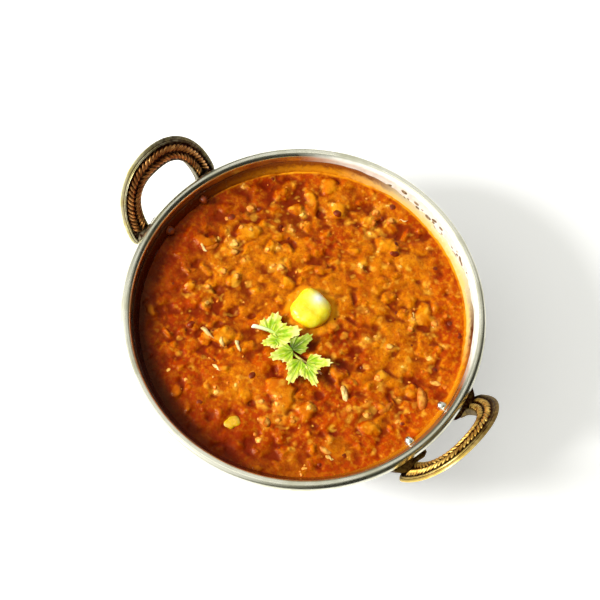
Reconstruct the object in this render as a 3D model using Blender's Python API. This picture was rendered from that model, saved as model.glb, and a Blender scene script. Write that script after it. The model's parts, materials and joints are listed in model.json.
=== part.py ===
"""Dal makhani in a round steel karahi with two cast brass loop handles.

The karahi stands on the plane z = 0 with its axis on Z, and its handles lie on the X axis.
Everything is in metres. Pieces that touch keep a gap of FIT_GAP.
"""
import bpy
import bmesh
import math
from mathutils import Matrix, Vector

# ---------------------------------------------------------------- driving dimensions
FIT_GAP = 0.0003

# steel karahi
RIM_RADIUS = 0.080            # outside of the rolled rim
RIM_TOP = 0.056
BEAD_RADIUS = 0.00235         # the rolled rim is a round bead
SHEET = 0.0012
BASE_RADIUS = 0.036           # flat bottom
WALL_FLARE = 0.40             # radius gained for each unit of height near the rim
MOUTH_RADIUS = 0.0753         # inner wall where it meets the bead
MOUTH_BELOW_BEAD = 0.001
TURN_STEPS = 56               # facets round the axis

# dal
DAL_BELOW_BEAD = 0.0072       # food level, measured down from the middle of the bead
DAL_RELIEF = 0.0005           # height of the surface's low swells
DAL_RINGS = 11

# brass handles: each is a flat band bent to a loop that leans outwards
FOOT_RADIUS = 0.079           # where the loop's front face crosses its base line
FOOT_BELOW_BEAD = 0.0048
HOLE_HALF_WIDTH = 0.0159
HOLE_LENGTH = 0.0219
HOLE_SQUARENESS = 2.67
HOLE_LEAN = math.radians(63.9)
LOOP_HALF_WIDTH = 0.0265
LOOP_LENGTH = 0.0351
LOOP_SQUARENESS = 1.98
LOOP_LEAN = math.radians(67.2)
BACK_HALF_WIDTH = 0.0270      # the loop's outer edge at the back of the band
BACK_LENGTH = 0.0350
BACK_SQUARENESS = 2.20
BACK_LEAN = math.radians(61.0)
BAND_LEAN = math.radians(65.5)
BAND_THICKNESS = 0.0036
LEG_LENGTH = 0.005            # the legs run on below the base line into the lugs
LEG_TUCK = 0.0020             # and turn inwards as they do
LOOP_STEPS = 26
LUG_TOP = 0.0034              # below the bead's middle
LUG_BOTTOM = 0.0115

# rivets
RIVET_OFFSET = 0.0109         # sideways from the handle's middle
RIVET_BELOW_BEAD = 0.0061
RIVET_HEAD_RADIUS = 0.0022
RIVET_HEAD_HEIGHT = 0.0034
RIVET_SHANK_RADIUS = 0.0011
RIVET_FACETS = 14
LUG_RADIUS = 0.0811           # outside of the lug where the rivet comes through

# garnish
BUTTER_CENTRE = (0.0, 0.0051)
BIT_CENTRE = (0.0102, -0.0560)
# radius, height above the dal, depth in it, squareness, heading of the drawn-out corner
BUTTER_SIZE = (0.0086, 0.0052, 0.0014, 2.6, 2.5)
BIT_SIZE = (0.0034, 0.0017, 0.0012, 2.3, 0.6)
SPRIG_START = (-0.0132, -0.0186)
SPRIG_HEADING = math.radians(7.0)
SPRIG_LENGTH = 0.0374
SPRIG_CLEARANCE = 0.0009      # above the dal's mean level
STALK_RADIUS = 0.00085        # at its cut end
STALK_TAPER = 0.45
LEAF_THICKNESS = 0.0006
LEAF_BASE = 0.0003            # the first leaflet's foot above the sprig's underside
LEAF_STAGGER = 0.00005        # each next one is this much higher

# ---------------------------------------------------------------- worked-out dimensions
BEAD_Z = RIM_TOP - BEAD_RADIUS
BEAD_CENTRE_RADIUS = RIM_RADIUS - BEAD_RADIUS
WALL_ANGLE = math.atan2(1.0, WALL_FLARE)      # of the straight wall, from horizontal
WALL_UP = Vector((math.cos(WALL_ANGLE), math.sin(WALL_ANGLE)))
WALL_OUT = Vector((math.sin(WALL_ANGLE), -math.cos(WALL_ANGLE)))
MOUTH = Vector((MOUTH_RADIUS, BEAD_Z - MOUTH_BELOW_BEAD))
CORNER_RADIUS = ((MOUTH.x - BASE_RADIUS) * WALL_OUT.x + MOUTH.y * WALL_OUT.y + SHEET) / (1.0 + WALL_OUT.y)
DAL_LEVEL = BEAD_Z - DAL_BELOW_BEAD


# ---------------------------------------------------------------- helpers
def clear_scene():
    for item in list(bpy.data.objects):
        bpy.data.objects.remove(item, do_unlink=True)


def make_material(name, colour, roughness, metallic=0.0):
    material = bpy.data.materials.new(name)
    material.use_nodes = True
    shader = material.node_tree.nodes["Principled BSDF"]
    shader.inputs["Base Color"].default_value = (*colour, 1.0)
    shader.inputs["Roughness"].default_value = roughness
    shader.inputs["Metallic"].default_value = metallic
    return material


def add_object(name, mesh, material=None):
    """Put a mesh in the scene, shaded smooth up to sharp corners."""
    item = bpy.data.objects.new(name, mesh)
    bpy.context.scene.collection.objects.link(item)
    if material is not None:
        mesh.materials.append(material)
    mesh.shade_smooth()
    mesh.set_sharp_from_angle(angle=math.radians(35))
    return item


def hide_guide(item):
    """A cutter or a guide: never a piece of its own."""
    item.hide_render = True
    item.display_type = "WIRE"
    return item


def add_boolean(item, other, operation):
    modifier = item.modifiers.new(operation.title() + " " + other.name, "BOOLEAN")
    modifier.operation = operation
    modifier.object = other
    modifier.solver = "EXACT"
    return modifier


def mesh_from_faces(name, points, faces):
    mesh = bpy.data.meshes.new(name)
    mesh.from_pydata([tuple(point) for point in points], [], faces)
    shape = bmesh.new()
    shape.from_mesh(mesh)
    bmesh.ops.recalc_face_normals(shape, faces=shape.faces)
    bmesh.ops.triangulate(shape, faces=shape.faces)
    shape.to_mesh(mesh)
    shape.free()
    mesh.update()
    return mesh


def lathe(name, profile, steps=TURN_STEPS):
    """Turn a profile of (radius, height) about Z; both its ends are on the axis."""
    inner = profile[1:-1]
    points = [Vector((0.0, 0.0, profile[0][1])), Vector((0.0, 0.0, profile[-1][1]))]
    for radius, height in inner:
        for step in range(steps):
            angle = 2.0 * math.pi * step / steps
            points.append(Vector((radius * math.cos(angle), radius * math.sin(angle), height)))
    faces = []
    last = 2 + (len(inner) - 1) * steps
    for step in range(steps):
        after = (step + 1) % steps
        faces.append((0, 2 + step, 2 + after))
        faces.append((1, last + after, last + step))
        for ring in range(len(inner) - 1):
            low = 2 + ring * steps
            high = low + steps
            faces.append((low + step, high + step, high + after, low + after))
    return mesh_from_faces(name, points, faces)


def loft(name, sections):
    """Join closed sections of equal point count, and cap both ends."""
    count = len(sections[0])
    points = [point for section in sections for point in section]
    faces = [tuple(range(count)), tuple(range((len(sections) - 1) * count, len(sections) * count))]
    for index in range(len(sections) - 1):
        low = index * count
        for corner in range(count):
            after = (corner + 1) % count
            faces.append((low + corner, low + after, low + count + after, low + count + corner))
    return mesh_from_faces(name, points, faces)


# ---------------------------------------------------------------- karahi profile
def wall_radius(height, outwards=0.0):
    """Radius of the inner wall's straight part at a height, moved outwards from its face."""
    return MOUTH.x + WALL_FLARE * (height - MOUTH.y) + outwards / WALL_OUT.x


def wall_meets_bead(outwards, bead_radius):
    """Angle on the bead where a line parallel to the inner wall runs into it from below."""
    level_point = Vector((wall_radius(BEAD_Z, outwards) - BEAD_CENTRE_RADIUS, 0.0))
    reach = level_point.dot(WALL_OUT)
    down = math.sqrt(bead_radius ** 2 - reach ** 2)
    point = WALL_OUT * reach - WALL_UP * down
    return math.atan2(point.y, point.x)


def corner_arc(outwards, steps=5):
    """The rounded corner between the bottom and the wall, from the bottom up."""
    radius = CORNER_RADIUS - SHEET + outwards
    arc = []
    for step in range(steps + 1):
        angle = WALL_ANGLE * step / steps
        arc.append((BASE_RADIUS + radius * math.sin(angle), CORNER_RADIUS - radius * math.cos(angle)))
    return arc


def bead_arc(start, end, radius, steps):
    arc = []
    for step in range(steps + 1):
        angle = start + (end - start) * step / steps
        arc.append((BEAD_CENTRE_RADIUS + radius * math.cos(angle), BEAD_Z + radius * math.sin(angle)))
    return arc


def bowl_profile():
    inside = wall_meets_bead(0.0, BEAD_RADIUS) % (2.0 * math.pi)
    underside = wall_meets_bead(SHEET, BEAD_RADIUS)
    profile = [(0.0, SHEET)]
    profile += corner_arc(0.0)
    profile += bead_arc(inside, underside, BEAD_RADIUS, 11)
    profile += reversed(corner_arc(SHEET))
    profile.append((0.0, 0.0))
    return profile


def clearance_profile():
    """The outside of the wall and of the bead, FIT_GAP larger, as a solid to cut with."""
    radius = BEAD_RADIUS + FIT_GAP
    underside = wall_meets_bead(SHEET + FIT_GAP, radius)
    foot_height = CORNER_RADIUS
    profile = [(0.0, BEAD_Z + radius)]
    profile += bead_arc(math.pi / 2.0, underside, radius, 7)
    profile.append((wall_radius(foot_height, SHEET + FIT_GAP), foot_height))
    profile.append((0.0, foot_height))
    return profile


def make_bowl(steel, holes):
    bowl = add_object("bowl", lathe("bowl", bowl_profile()), steel)
    add_boolean(bowl, holes, "DIFFERENCE")
    return bowl


# ---------------------------------------------------------------- rivets
def rivet_frames():
    """One frame for each rivet: origin on the inner wall, local Z pointing into the bowl."""
    height = BEAD_Z - RIVET_BELOW_BEAD
    radius = wall_radius(height)
    swing = math.asin(RIVET_OFFSET / radius)
    frames = []
    for middle in (0.0, math.pi):
        for side in (-1.0, 1.0):
            turn = Matrix.Rotation(middle + side * swing, 4, "Z")
            place = Matrix.Translation((radius, 0.0, height))
            tilt = Matrix.Rotation(-WALL_ANGLE, 4, "Y")
            frames.append(turn @ place @ tilt)
    return frames


def rivet_length():
    """From the inner wall to the outside of the lug."""
    return (LUG_RADIUS - wall_radius(BEAD_Z - RIVET_BELOW_BEAD)) * WALL_OUT.x


def rivet_mesh():
    """A domed head inside the bowl and a plain shank through the wall and the lug."""
    profile = [(0.0, FIT_GAP + RIVET_HEAD_HEIGHT)]
    dome_steps = 4
    for step in range(1, dome_steps + 1):
        angle = 0.5 * math.pi * step / dome_steps
        profile.append((RIVET_HEAD_RADIUS * math.sin(angle), FIT_GAP + RIVET_HEAD_HEIGHT * math.cos(angle)))
    profile.append((RIVET_SHANK_RADIUS, FIT_GAP))
    profile.append((RIVET_SHANK_RADIUS, -rivet_length()))
    profile.append((0.0, -rivet_length()))
    return lathe("rivet", profile, RIVET_FACETS)


def make_rivets(steel):
    mesh = rivet_mesh()
    names = ("rivet_near_left", "rivet_near_right", "rivet_far_left", "rivet_far_right")
    for index, frame in enumerate(rivet_frames()):
        rivet = add_object(names[index], mesh, steel if index == 0 else None)
        rivet.matrix_world = frame


def rivet_guides(name, radius, low, high):
    """Plain cylinders on the rivets' axes, joined in one cutter."""
    shape = bmesh.new()
    for frame in rivet_frames():
        middle = Matrix.Translation((0.0, 0.0, 0.5 * (low + high)))
        bmesh.ops.create_cone(shape, cap_ends=True, segments=RIVET_FACETS, radius1=radius,
                              radius2=radius, depth=high - low, matrix=frame @ middle)
    mesh = bpy.data.meshes.new(name)
    shape.to_mesh(mesh)
    shape.free()
    return hide_guide(add_object(name, mesh))


# ---------------------------------------------------------------- handles
def superellipse(half_width, length, squareness, angle):
    """(sideways, along) on a superellipse, angle 0 to pi."""
    cosine = math.cos(angle)
    sine = max(math.sin(angle), 0.0)
    sideways = math.copysign(half_width * abs(cosine) ** (2.0 / squareness), cosine)
    return sideways, length * sine ** (2.0 / squareness)


def loop_point(half_width, length, squareness, lean, angle):
    """A point of the handle's front face on the +X handle."""
    sideways, along = superellipse(half_width, length, squareness, angle)
    base = Vector((FOOT_RADIUS, sideways, BEAD_Z - FOOT_BELOW_BEAD))
    return base + along * Vector((math.cos(lean), 0.0, math.sin(lean)))


def round_corners(corners, radii):
    """Cut each corner of a section back, so that its edges are not sharp."""
    section = []
    for index, corner in enumerate(corners):
        before = (corners[index - 1] - corner).normalized()
        after = (corners[(index + 1) % len(corners)] - corner).normalized()
        section.append(corner + before * radii[index])
        section.append(corner + (before + after) * radii[index] * 0.3)
        section.append(corner + after * radii[index])
    return section


def band_section(angle):
    """The band cut across: hole edge, outer edge, and the same two on its back."""
    hole_edge = loop_point(HOLE_HALF_WIDTH, HOLE_LENGTH, HOLE_SQUARENESS, HOLE_LEAN, angle)
    outer_edge = loop_point(LOOP_HALF_WIDTH, LOOP_LENGTH, LOOP_SQUARENESS, LOOP_LEAN, angle)
    back_edge = loop_point(BACK_HALF_WIDTH, BACK_LENGTH, BACK_SQUARENESS, BACK_LEAN, angle)
    through = BAND_THICKNESS * Vector((math.sin(BAND_LEAN), 0.0, -math.cos(BAND_LEAN)))
    back_edge += 0.5 * (1.0 - math.sin(angle)) * through
    corners = [hole_edge, outer_edge, back_edge, hole_edge + 1.2 * through]
    return round_corners(corners, (0.0005, 0.0004, 0.0009, 0.0008))


def leg_sections(angle, side):
    """The leg's end below the base line, tucked in towards the middle of the handle."""
    down = -LEG_LENGTH * Vector((math.cos(BAND_LEAN), 0.0, math.sin(BAND_LEAN)))
    sections = []
    for share in (1.0, 0.5):
        tuck = Vector((0.0, -side * LEG_TUCK * share ** 2, 0.0))
        sections.append([point + share * down + tuck for point in band_section(angle)])
    return sections


def band_mesh():
    sections = leg_sections(0.0, 1.0)
    for step in range(LOOP_STEPS + 1):
        sections.append(band_section(math.pi * step / LOOP_STEPS))
    sections += reversed(leg_sections(math.pi, -1.0))
    return loft("handle_band", sections)


def lug_outline():
    """Seen from above, one lug of the +X handle, with a flat facing the rivet's end."""
    rivet_angle = math.asin(RIVET_OFFSET / wall_radius(BEAD_Z - RIVET_BELOW_BEAD))
    outline = [(0.066, 0.0085), (0.0790, 0.0090)]
    for angle in (rivet_angle - math.radians(1.5), rivet_angle + math.radians(2.2)):
        outline.append((LUG_RADIUS * math.cos(angle), LUG_RADIUS * math.sin(angle)))
    outline += [(0.0796, 0.0215), (0.0780, 0.0238), (0.0752, 0.0256), (0.066, 0.0266)]
    return outline


def lug_guides():
    """Both lugs of the +X handle, leaning as the wall does."""
    top = BEAD_Z - LUG_TOP
    bottom = BEAD_Z - LUG_BOTTOM
    middle = BEAD_Z - RIVET_BELOW_BEAD
    bevel = 0.0007
    levels = ((top, bevel), (top - bevel, 0.0), (bottom + bevel, 0.0), (bottom, bevel))
    shape = bmesh.new()
    for side in (-1.0, 1.0):
        sections = []
        for height, inset in levels:
            lean = WALL_FLARE * (height - middle)
            sections.append([Vector((x - inset + lean, side * y, height)) for x, y in lug_outline()])
        mesh = loft("lug", sections)
        shape.from_mesh(mesh)
        bpy.data.meshes.remove(mesh)
    joined = bpy.data.meshes.new("handle_lugs")
    shape.to_mesh(joined)
    shape.free()
    return hide_guide(add_object("handle_lugs", joined))


def evaluated_mesh(item, name):
    """The object's mesh with its modifiers applied."""
    graph = bpy.context.evaluated_depsgraph_get()
    mesh = bpy.data.meshes.new_from_object(item.evaluated_get(graph), depsgraph=graph)
    mesh.name = name
    return mesh


def make_handles(brass, holes):
    clearance = hide_guide(add_object("bowl_clearance", lathe("bowl_clearance", clearance_profile())))
    pattern = add_object("handle_pattern", band_mesh())
    add_boolean(pattern, lug_guides(), "UNION")
    add_boolean(pattern, clearance, "DIFFERENCE")
    add_boolean(pattern, holes, "DIFFERENCE")
    mesh = evaluated_mesh(pattern, "handle")
    bpy.data.objects.remove(pattern, do_unlink=True)
    add_object("handle_near", mesh, brass)
    far = add_object("handle_far", mesh)
    far.rotation_euler.z = math.pi


# ---------------------------------------------------------------- dal
def dal_height(x, y):
    """The dal's thick surface: low uneven swells, flat where it meets the wall."""
    swell = (
        0.45 * math.sin(210.0 * x + 0.6 + 1.4 * math.sin(95.0 * y))
        + 0.35 * math.sin(260.0 * y - 1.1 + 1.2 * math.sin(120.0 * x + 0.8))
        + 0.20 * math.sin(330.0 * (0.6 * x - 0.8 * y) + 2.2)
    )
    edge = math.hypot(x, y) / wall_radius(DAL_LEVEL)
    return DAL_LEVEL + DAL_RELIEF * swell * (1.0 - edge ** 8)


def dal_mesh():
    """Filled down to the bottom of the bowl; FIT_GAP is kept to the steel."""
    edge_radius = wall_radius(DAL_LEVEL, -FIT_GAP)
    flank = corner_arc(-FIT_GAP) + [(edge_radius, DAL_LEVEL)]
    points = [Vector((0.0, 0.0, flank[0][1]))]
    faces = []

    def add_ring(radius, height_of):
        first = len(points)
        for step in range(TURN_STEPS):
            angle = 2.0 * math.pi * step / TURN_STEPS
            x = radius * math.cos(angle)
            y = radius * math.sin(angle)
            points.append(Vector((x, y, height_of(x, y))))
        return first

    rings = [add_ring(radius, lambda x, y, height=height: height) for radius, height in flank]
    for ring in range(1, DAL_RINGS):
        share = 1.0 - (ring / DAL_RINGS) ** 1.15
        rings.append(add_ring(edge_radius * share, dal_height))
    summit = len(points)
    points.append(Vector((0.0, 0.0, dal_height(0.0, 0.0))))
    for step in range(TURN_STEPS):
        after = (step + 1) % TURN_STEPS
        faces.append((0, rings[0] + after, rings[0] + step))
        faces.append((rings[-1] + step, rings[-1] + after, summit))
        for low, high in zip(rings, rings[1:]):
            faces.append((low + step, low + after, high + after, high + step))
    return mesh_from_faces("dal", points, faces)


def make_dal(gravy, cutters):
    dal = add_object("dal", dal_mesh(), gravy)
    for cutter in cutters:
        add_boolean(dal, cutter, "DIFFERENCE")
    return dal


# ---------------------------------------------------------------- butter
def squarish(angle, squareness):
    """Reach of a rounded square of half-width 1 in a direction; 2 would be a circle."""
    total = abs(math.cos(angle)) ** squareness + abs(math.sin(angle)) ** squareness
    return total ** (-1.0 / squareness)


def lump_mesh(name, size, grow=0.0, steps=20, rings=7):
    """A soft melted lump: squarish from above, with one drawn-out corner.

    Its widest level is z = 0; grow moves its whole skin outwards.
    """
    radius, height, sunk, squareness, corner = size
    points = []
    for ring in range(1, rings):
        polar = math.pi * ring / rings
        for step in range(steps):
            angle = 2.0 * math.pi * step / steps
            outline = squarish(angle, squareness)
            outline *= 1.0 + 0.12 * math.exp(-((angle - corner) / 0.35) ** 2)
            outline *= 1.0 + 0.03 * math.sin(3.0 * angle + 1.0)
            across = (radius * outline + grow) * math.sin(polar) ** 0.75
            tall = (height if polar < 0.5 * math.pi else sunk) + grow
            lumps = 1.0 + 0.10 * math.sin(2.0 * angle + 0.5) * math.sin(2.0 * polar)
            level = tall * lumps * math.cos(polar)
            points.append((across * math.cos(angle), across * math.sin(angle), level))
    top = len(points)
    points.append((0.0, 0.0, height + grow))
    bottom = len(points)
    points.append((0.0, 0.0, -sunk - grow))
    faces = []
    for step in range(steps):
        after = (step + 1) % steps
        faces.append((top, step, after))
        last = (rings - 2) * steps
        faces.append((bottom, last + after, last + step))
        for ring in range(rings - 2):
            low = ring * steps
            faces.append((low + step, low + steps + step, low + steps + after, low + after))
    return mesh_from_faces(name, points, faces)


def make_lump(name, centre, size, material):
    """One piece of butter; returns the cutter that sinks it into the dal."""
    place = (centre[0], centre[1], dal_height(*centre))
    lump = add_object(name, lump_mesh(name, size), material)
    lump.location = place
    pocket = hide_guide(add_object(name + "_pocket", lump_mesh(name + "_pocket", size, 1.5 * FIT_GAP)))
    pocket.location = place
    return pocket


# ---------------------------------------------------------------- coriander
# each leaflet: place along the stalk and beside it, heading from the stalk, length, width, lift
LEAFLETS = (
    (0.0080, 0.0026, 108, 0.0092, 0.0130, 0.0012),
    (0.0100, 0.0024, 44, 0.0124, 0.0118, 0.0030),
    (0.0135, 0.0022, -128, 0.0078, 0.0078, 0.0008),
    (0.0200, 0.0010, 62, 0.0118, 0.0098, 0.0018),
    (0.0212, 0.0000, -126, 0.0108, 0.0104, 0.0010),
    (0.0262, -0.0010, -84, 0.0116, 0.0104, 0.0008),
    (0.0290, 0.0004, 30, 0.0112, 0.0088, 0.0022),
    (0.0290, -0.0012, -34, 0.0112, 0.0082, 0.0014),
)


def stalk_side(along):
    """The stalk's sideways bow at a distance along the sprig."""
    return 0.0030 * math.sin(math.pi * min(along / 0.021, 1.0))


def leaflet_points(length, width):
    """A fan of three lobes, each toothed, starting at a narrow foot; local +X is its tip."""
    lobes = ((-52, 0.66), (0, 1.0), (52, 0.66))
    outline = [(0.0, -0.07 * width)]
    for heading, reach in lobes:
        for tooth, share in ((-20, 0.80), (-9, 0.95), (0, 1.0), (9, 0.95), (20, 0.80)):
            angle = math.radians(heading + tooth)
            distance = length * reach * share
            spread = width / (1.5 * length)
            outline.append((distance * math.cos(angle), distance * math.sin(angle) * spread * 1.35))
        if heading < 52:
            angle = math.radians(heading + 26)
            outline.append((0.46 * length * math.cos(angle), 0.46 * length * math.sin(angle) * 0.9))
    outline.append((0.0, 0.07 * width))
    return outline


def leaflet_mesh(length, width, lift):
    """The outline as a thin plate whose tip is raised."""
    outline = leaflet_points(length, width)
    sections = []
    for level in (0.0, LEAF_THICKNESS):
        sections.append([Vector((x, y, level + lift * (x / length) ** 2)) for x, y in outline])
    return loft("leaflet", sections)


def stalk_mesh():
    """A thin round stalk, thicker at its cut end."""
    steps = 12
    corners = 8
    sections = []
    for step in range(steps + 1):
        along = SPRIG_LENGTH * step / steps
        radius = STALK_RADIUS * (1.0 - STALK_TAPER * step / steps)
        section = []
        for corner in range(corners):
            angle = 2.0 * math.pi * corner / corners
            across = stalk_side(along) + radius * math.cos(angle)
            section.append(Vector((along, across, radius * (1.0 + math.sin(angle)))))
        sections.append(section)
    return loft("stalk", sections)


def make_coriander(leaf):
    """One sprig: a stalk and its leaflets, united into a single body."""
    sprig = add_object("coriander", stalk_mesh(), leaf)
    frame = Matrix.Translation((*SPRIG_START, DAL_LEVEL + SPRIG_CLEARANCE))
    frame = frame @ Matrix.Rotation(SPRIG_HEADING, 4, "Z")
    sprig.matrix_world = frame
    for index, (along, side, heading, length, width, lift) in enumerate(LEAFLETS):
        guide = hide_guide(add_object("leaflet_%d" % index, leaflet_mesh(length, width, lift)))
        local = Matrix.Translation((along, side, LEAF_BASE + LEAF_STAGGER * index))
        guide.matrix_world = frame @ local @ Matrix.Rotation(math.radians(heading), 4, "Z")
        add_boolean(sprig, guide, "UNION")
    return sprig


# ---------------------------------------------------------------- the whole dish
def main():
    clear_scene()
    steel = make_material("steel", (0.58, 0.58, 0.54), 0.22, 1.0)
    brass = make_material("brass", (0.45, 0.30, 0.10), 0.38, 1.0)
    rivet_steel = make_material("rivet_steel", (0.72, 0.72, 0.68), 0.20, 1.0)
    gravy = make_material("gravy", (0.42, 0.12, 0.015), 0.35)
    butter = make_material("butter", (0.95, 0.80, 0.10), 0.40)
    leaf = make_material("leaf", (0.42, 0.58, 0.06), 0.55)

    holes = rivet_guides("rivet_holes", RIVET_SHANK_RADIUS + FIT_GAP, -0.012, 0.002)
    head_room = rivet_guides("rivet_head_room", RIVET_HEAD_RADIUS + FIT_GAP, -0.001,
                             2.0 * FIT_GAP + RIVET_HEAD_HEIGHT)
    make_bowl(steel, holes)
    make_handles(brass, holes)
    make_rivets(rivet_steel)
    pockets = [
        make_lump("butter", BUTTER_CENTRE, BUTTER_SIZE, butter),
        make_lump("butter_bit", BIT_CENTRE, BIT_SIZE, butter),
    ]
    make_dal(gravy, [head_room] + pockets)
    make_coriander(leaf)


main()
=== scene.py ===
# %% [markdown]
# # Dal makhani in a small karahi
# The imported part already gives every size and place: a steel karahi, two cast brass handles,
# four rivets, the dal, two pieces of butter and a sprig of coriander. This script loads that
# part as a fixed frame and dresses it: each plain solid gets a finely made piece in its place.
# The first cell opens the frame.

# %% Open the frame
import json
import math
import bpy
import bmesh
import numpy as np
from mathutils import Matrix, Vector, noise

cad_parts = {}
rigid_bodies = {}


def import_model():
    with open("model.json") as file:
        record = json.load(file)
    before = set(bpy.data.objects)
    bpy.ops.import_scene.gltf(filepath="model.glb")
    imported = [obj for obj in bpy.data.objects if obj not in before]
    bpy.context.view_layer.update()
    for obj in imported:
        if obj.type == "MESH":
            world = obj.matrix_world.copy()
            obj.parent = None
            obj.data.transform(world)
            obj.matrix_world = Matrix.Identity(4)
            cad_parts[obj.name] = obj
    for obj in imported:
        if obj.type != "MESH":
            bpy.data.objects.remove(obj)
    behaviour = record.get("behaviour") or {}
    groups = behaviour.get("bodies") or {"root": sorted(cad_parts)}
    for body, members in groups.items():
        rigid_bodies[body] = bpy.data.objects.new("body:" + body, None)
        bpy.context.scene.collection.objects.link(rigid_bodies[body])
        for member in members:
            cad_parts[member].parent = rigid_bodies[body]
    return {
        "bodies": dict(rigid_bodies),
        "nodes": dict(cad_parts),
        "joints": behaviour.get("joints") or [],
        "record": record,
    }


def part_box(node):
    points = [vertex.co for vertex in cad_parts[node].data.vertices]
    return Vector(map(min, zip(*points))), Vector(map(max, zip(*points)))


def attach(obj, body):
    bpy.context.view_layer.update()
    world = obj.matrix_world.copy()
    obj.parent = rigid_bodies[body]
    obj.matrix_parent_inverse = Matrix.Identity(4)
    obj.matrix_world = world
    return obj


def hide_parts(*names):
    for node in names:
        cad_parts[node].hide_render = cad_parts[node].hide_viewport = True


MM = 0.001
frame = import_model()
scene = bpy.context.scene
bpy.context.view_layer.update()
print("frame:", sorted(frame["nodes"]))

# %% [markdown]
# The main sizes come from the nodes' boxes. The karahi's box gives the rim's radius and height;
# the rim is a round bead, so its middle lies one bead radius lower. The inner wall is a cone
# just under the bead. All other heights are counted down from the middle of the bead.

# %% Sizes of the karahi
bowl_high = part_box("bowl")[1]
RIM_RADIUS = bowl_high.x
BEAD_RADIUS = 2.35 * MM
BEAD_CENTRE = RIM_RADIUS - BEAD_RADIUS
BEAD_Z = bowl_high.z - BEAD_RADIUS
SHEET = 1.2 * MM
BASE_RADIUS = 36 * MM
WALL_FLARE = 0.40             # radius gained for each unit of height
WALL_ANGLE = math.atan2(1.0, WALL_FLARE)
MOUTH_RADIUS = 75.3 * MM
MOUTH_Z = BEAD_Z - 1.0 * MM
GAP = 0.3 * MM
DAL_LEVEL = BEAD_Z - 7.2 * MM


def direction(azimuth, elevation):
    """A unit vector at these angles, in degrees."""
    turn, rise = math.radians(azimuth), math.radians(elevation)
    return Vector((math.cos(rise) * math.cos(turn), math.cos(rise) * math.sin(turn), math.sin(rise)))


def wall_radius(height, outwards=0.0):
    """Radius of the inner wall at a height, moved outwards from its face."""
    return MOUTH_RADIUS + WALL_FLARE * (height - MOUTH_Z) + outwards / math.sin(WALL_ANGLE)


DAL_RADIUS = wall_radius(DAL_LEVEL, -GAP)
print("rim %.1f mm, dal %.1f mm across" % (2 * RIM_RADIUS / MM, 2 * DAL_RADIUS / MM))

# %% [markdown]
# Shader trees and geometry trees are both made of nodes with named inputs. A few small helpers
# keep the later cells short: add a node and fill its inputs with values or links, do arithmetic,
# and start a node group with named sockets. Colours are written the way a paint chart gives
# them, as six hexadecimal digits, and turned into the linear values that Blender works in.

# %% Helpers for node trees
FLOAT, WHOLE = "NodeSocketFloat", "NodeSocketInt"
MATERIAL, GEOMETRY = "NodeSocketMaterial", "NodeSocketGeometry"
SHADER_TREE, GEOMETRY_TREE = "ShaderNodeTree", "GeometryNodeTree"


def fill(tree, socket, value):
    """Link a socket to another one, or give it a value."""
    if isinstance(value, bpy.types.NodeSocket):
        tree.links.new(value, socket)
    else:
        socket.default_value = value


def add_node(tree, kind, inputs=None, **settings):
    made = tree.nodes.new(kind)
    for setting, value in settings.items():
        setattr(made, setting, value)
    for name, value in (inputs or {}).items():
        fill(tree, made.inputs[name], value)
    return made


def maths(tree, operation, *values):
    return add_node(tree, "ShaderNodeMath", dict(enumerate(values)), operation=operation).outputs[0]


def product(tree, first, *others):
    for other in others:
        first = maths(tree, "MULTIPLY", first, other)
    return first


def ramp(tree, value, start, end, low=0.0, high=1.0, smooth=False):
    """low to high as a value goes from start to end, and no further."""
    return add_node(tree, "ShaderNodeMapRange", {0: value, 1: start, 2: end, 3: low, 4: high},
                    interpolation_type="SMOOTHSTEP" if smooth else "LINEAR").outputs[0]


def spread(tree, mask, low, high):
    """low to high as a mask goes from 0 to 1."""
    return ramp(tree, mask, 0.0, 1.0, low, high)


def parts_of(tree, vector):
    return add_node(tree, "ShaderNodeSeparateXYZ", {0: vector}).outputs


def join_parts(tree, *parts):
    return add_node(tree, "ShaderNodeCombineXYZ", dict(enumerate(parts))).outputs[0]


def own_place(tree):
    """Each point's place in the piece's own frame."""
    return add_node(tree, "ShaderNodeTexCoord").outputs["Object"]


def from_axis(tree, place):
    """Distance from the upright axis."""
    return maths(tree, "SQRT", maths(tree, "ADD", product(tree, place[0], place[0]),
                                     product(tree, place[1], place[1])))


def new_group(name, kind, inputs, outputs):
    """A node group; each socket is (name, type) or (name, type, default)."""
    tree = bpy.data.node_groups.new(name, kind)
    for side, sockets in (("INPUT", inputs), ("OUTPUT", outputs)):
        for label, socket_type, *default in sockets:
            made = tree.interface.new_socket(name=label, in_out=side, socket_type=socket_type)
            if default:
                made.default_value = default[0]
    start = tree.nodes.new("NodeGroupInput").outputs
    end = tree.nodes.new("NodeGroupOutput").inputs
    return tree, start, end


def use_group(tree, group, **values):
    """First output of a group placed in a tree; input names are given in lower case."""
    made = tree.nodes.new(tree.bl_idname.replace("Tree", "Group"))
    made.node_tree = group
    for name, value in values.items():
        fill(tree, made.inputs[name.replace("_", " ").capitalize()], value)
    return made.outputs[0]


def paint(code):
    """Six hexadecimal digits as a linear colour with alpha."""
    shares = [int(code[i:i + 2], 16) / 255 for i in (0, 2, 4)]
    return tuple([s / 12.92 if s < 0.04045 else ((s + 0.055) / 1.055) ** 2.4 for s in shares] + [1.0])


print("mid grey as a linear value: %.3f" % paint("808080")[0])


# %% [markdown]
# Effects that several finishes share are shader groups, built once. "Mottling" is a soft mask
# from noise of a stated size in millimetres: gravy, butter, brass and leaf are all uneven in this
# way. "Fine grain" gives a small height for a Bump node. "Turning marks" are the fine rings that
# polishing on a lathe leaves in steel.

# %% Shared shader groups
def noise_of(tree, place, size, detail):
    """Noise whose features have this size in mm."""
    return add_node(tree, "ShaderNodeTexNoise", {
        "Vector": place, "Scale": maths(tree, "DIVIDE", 1.0 / MM, size), "Detail": detail}).outputs[0]


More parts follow.
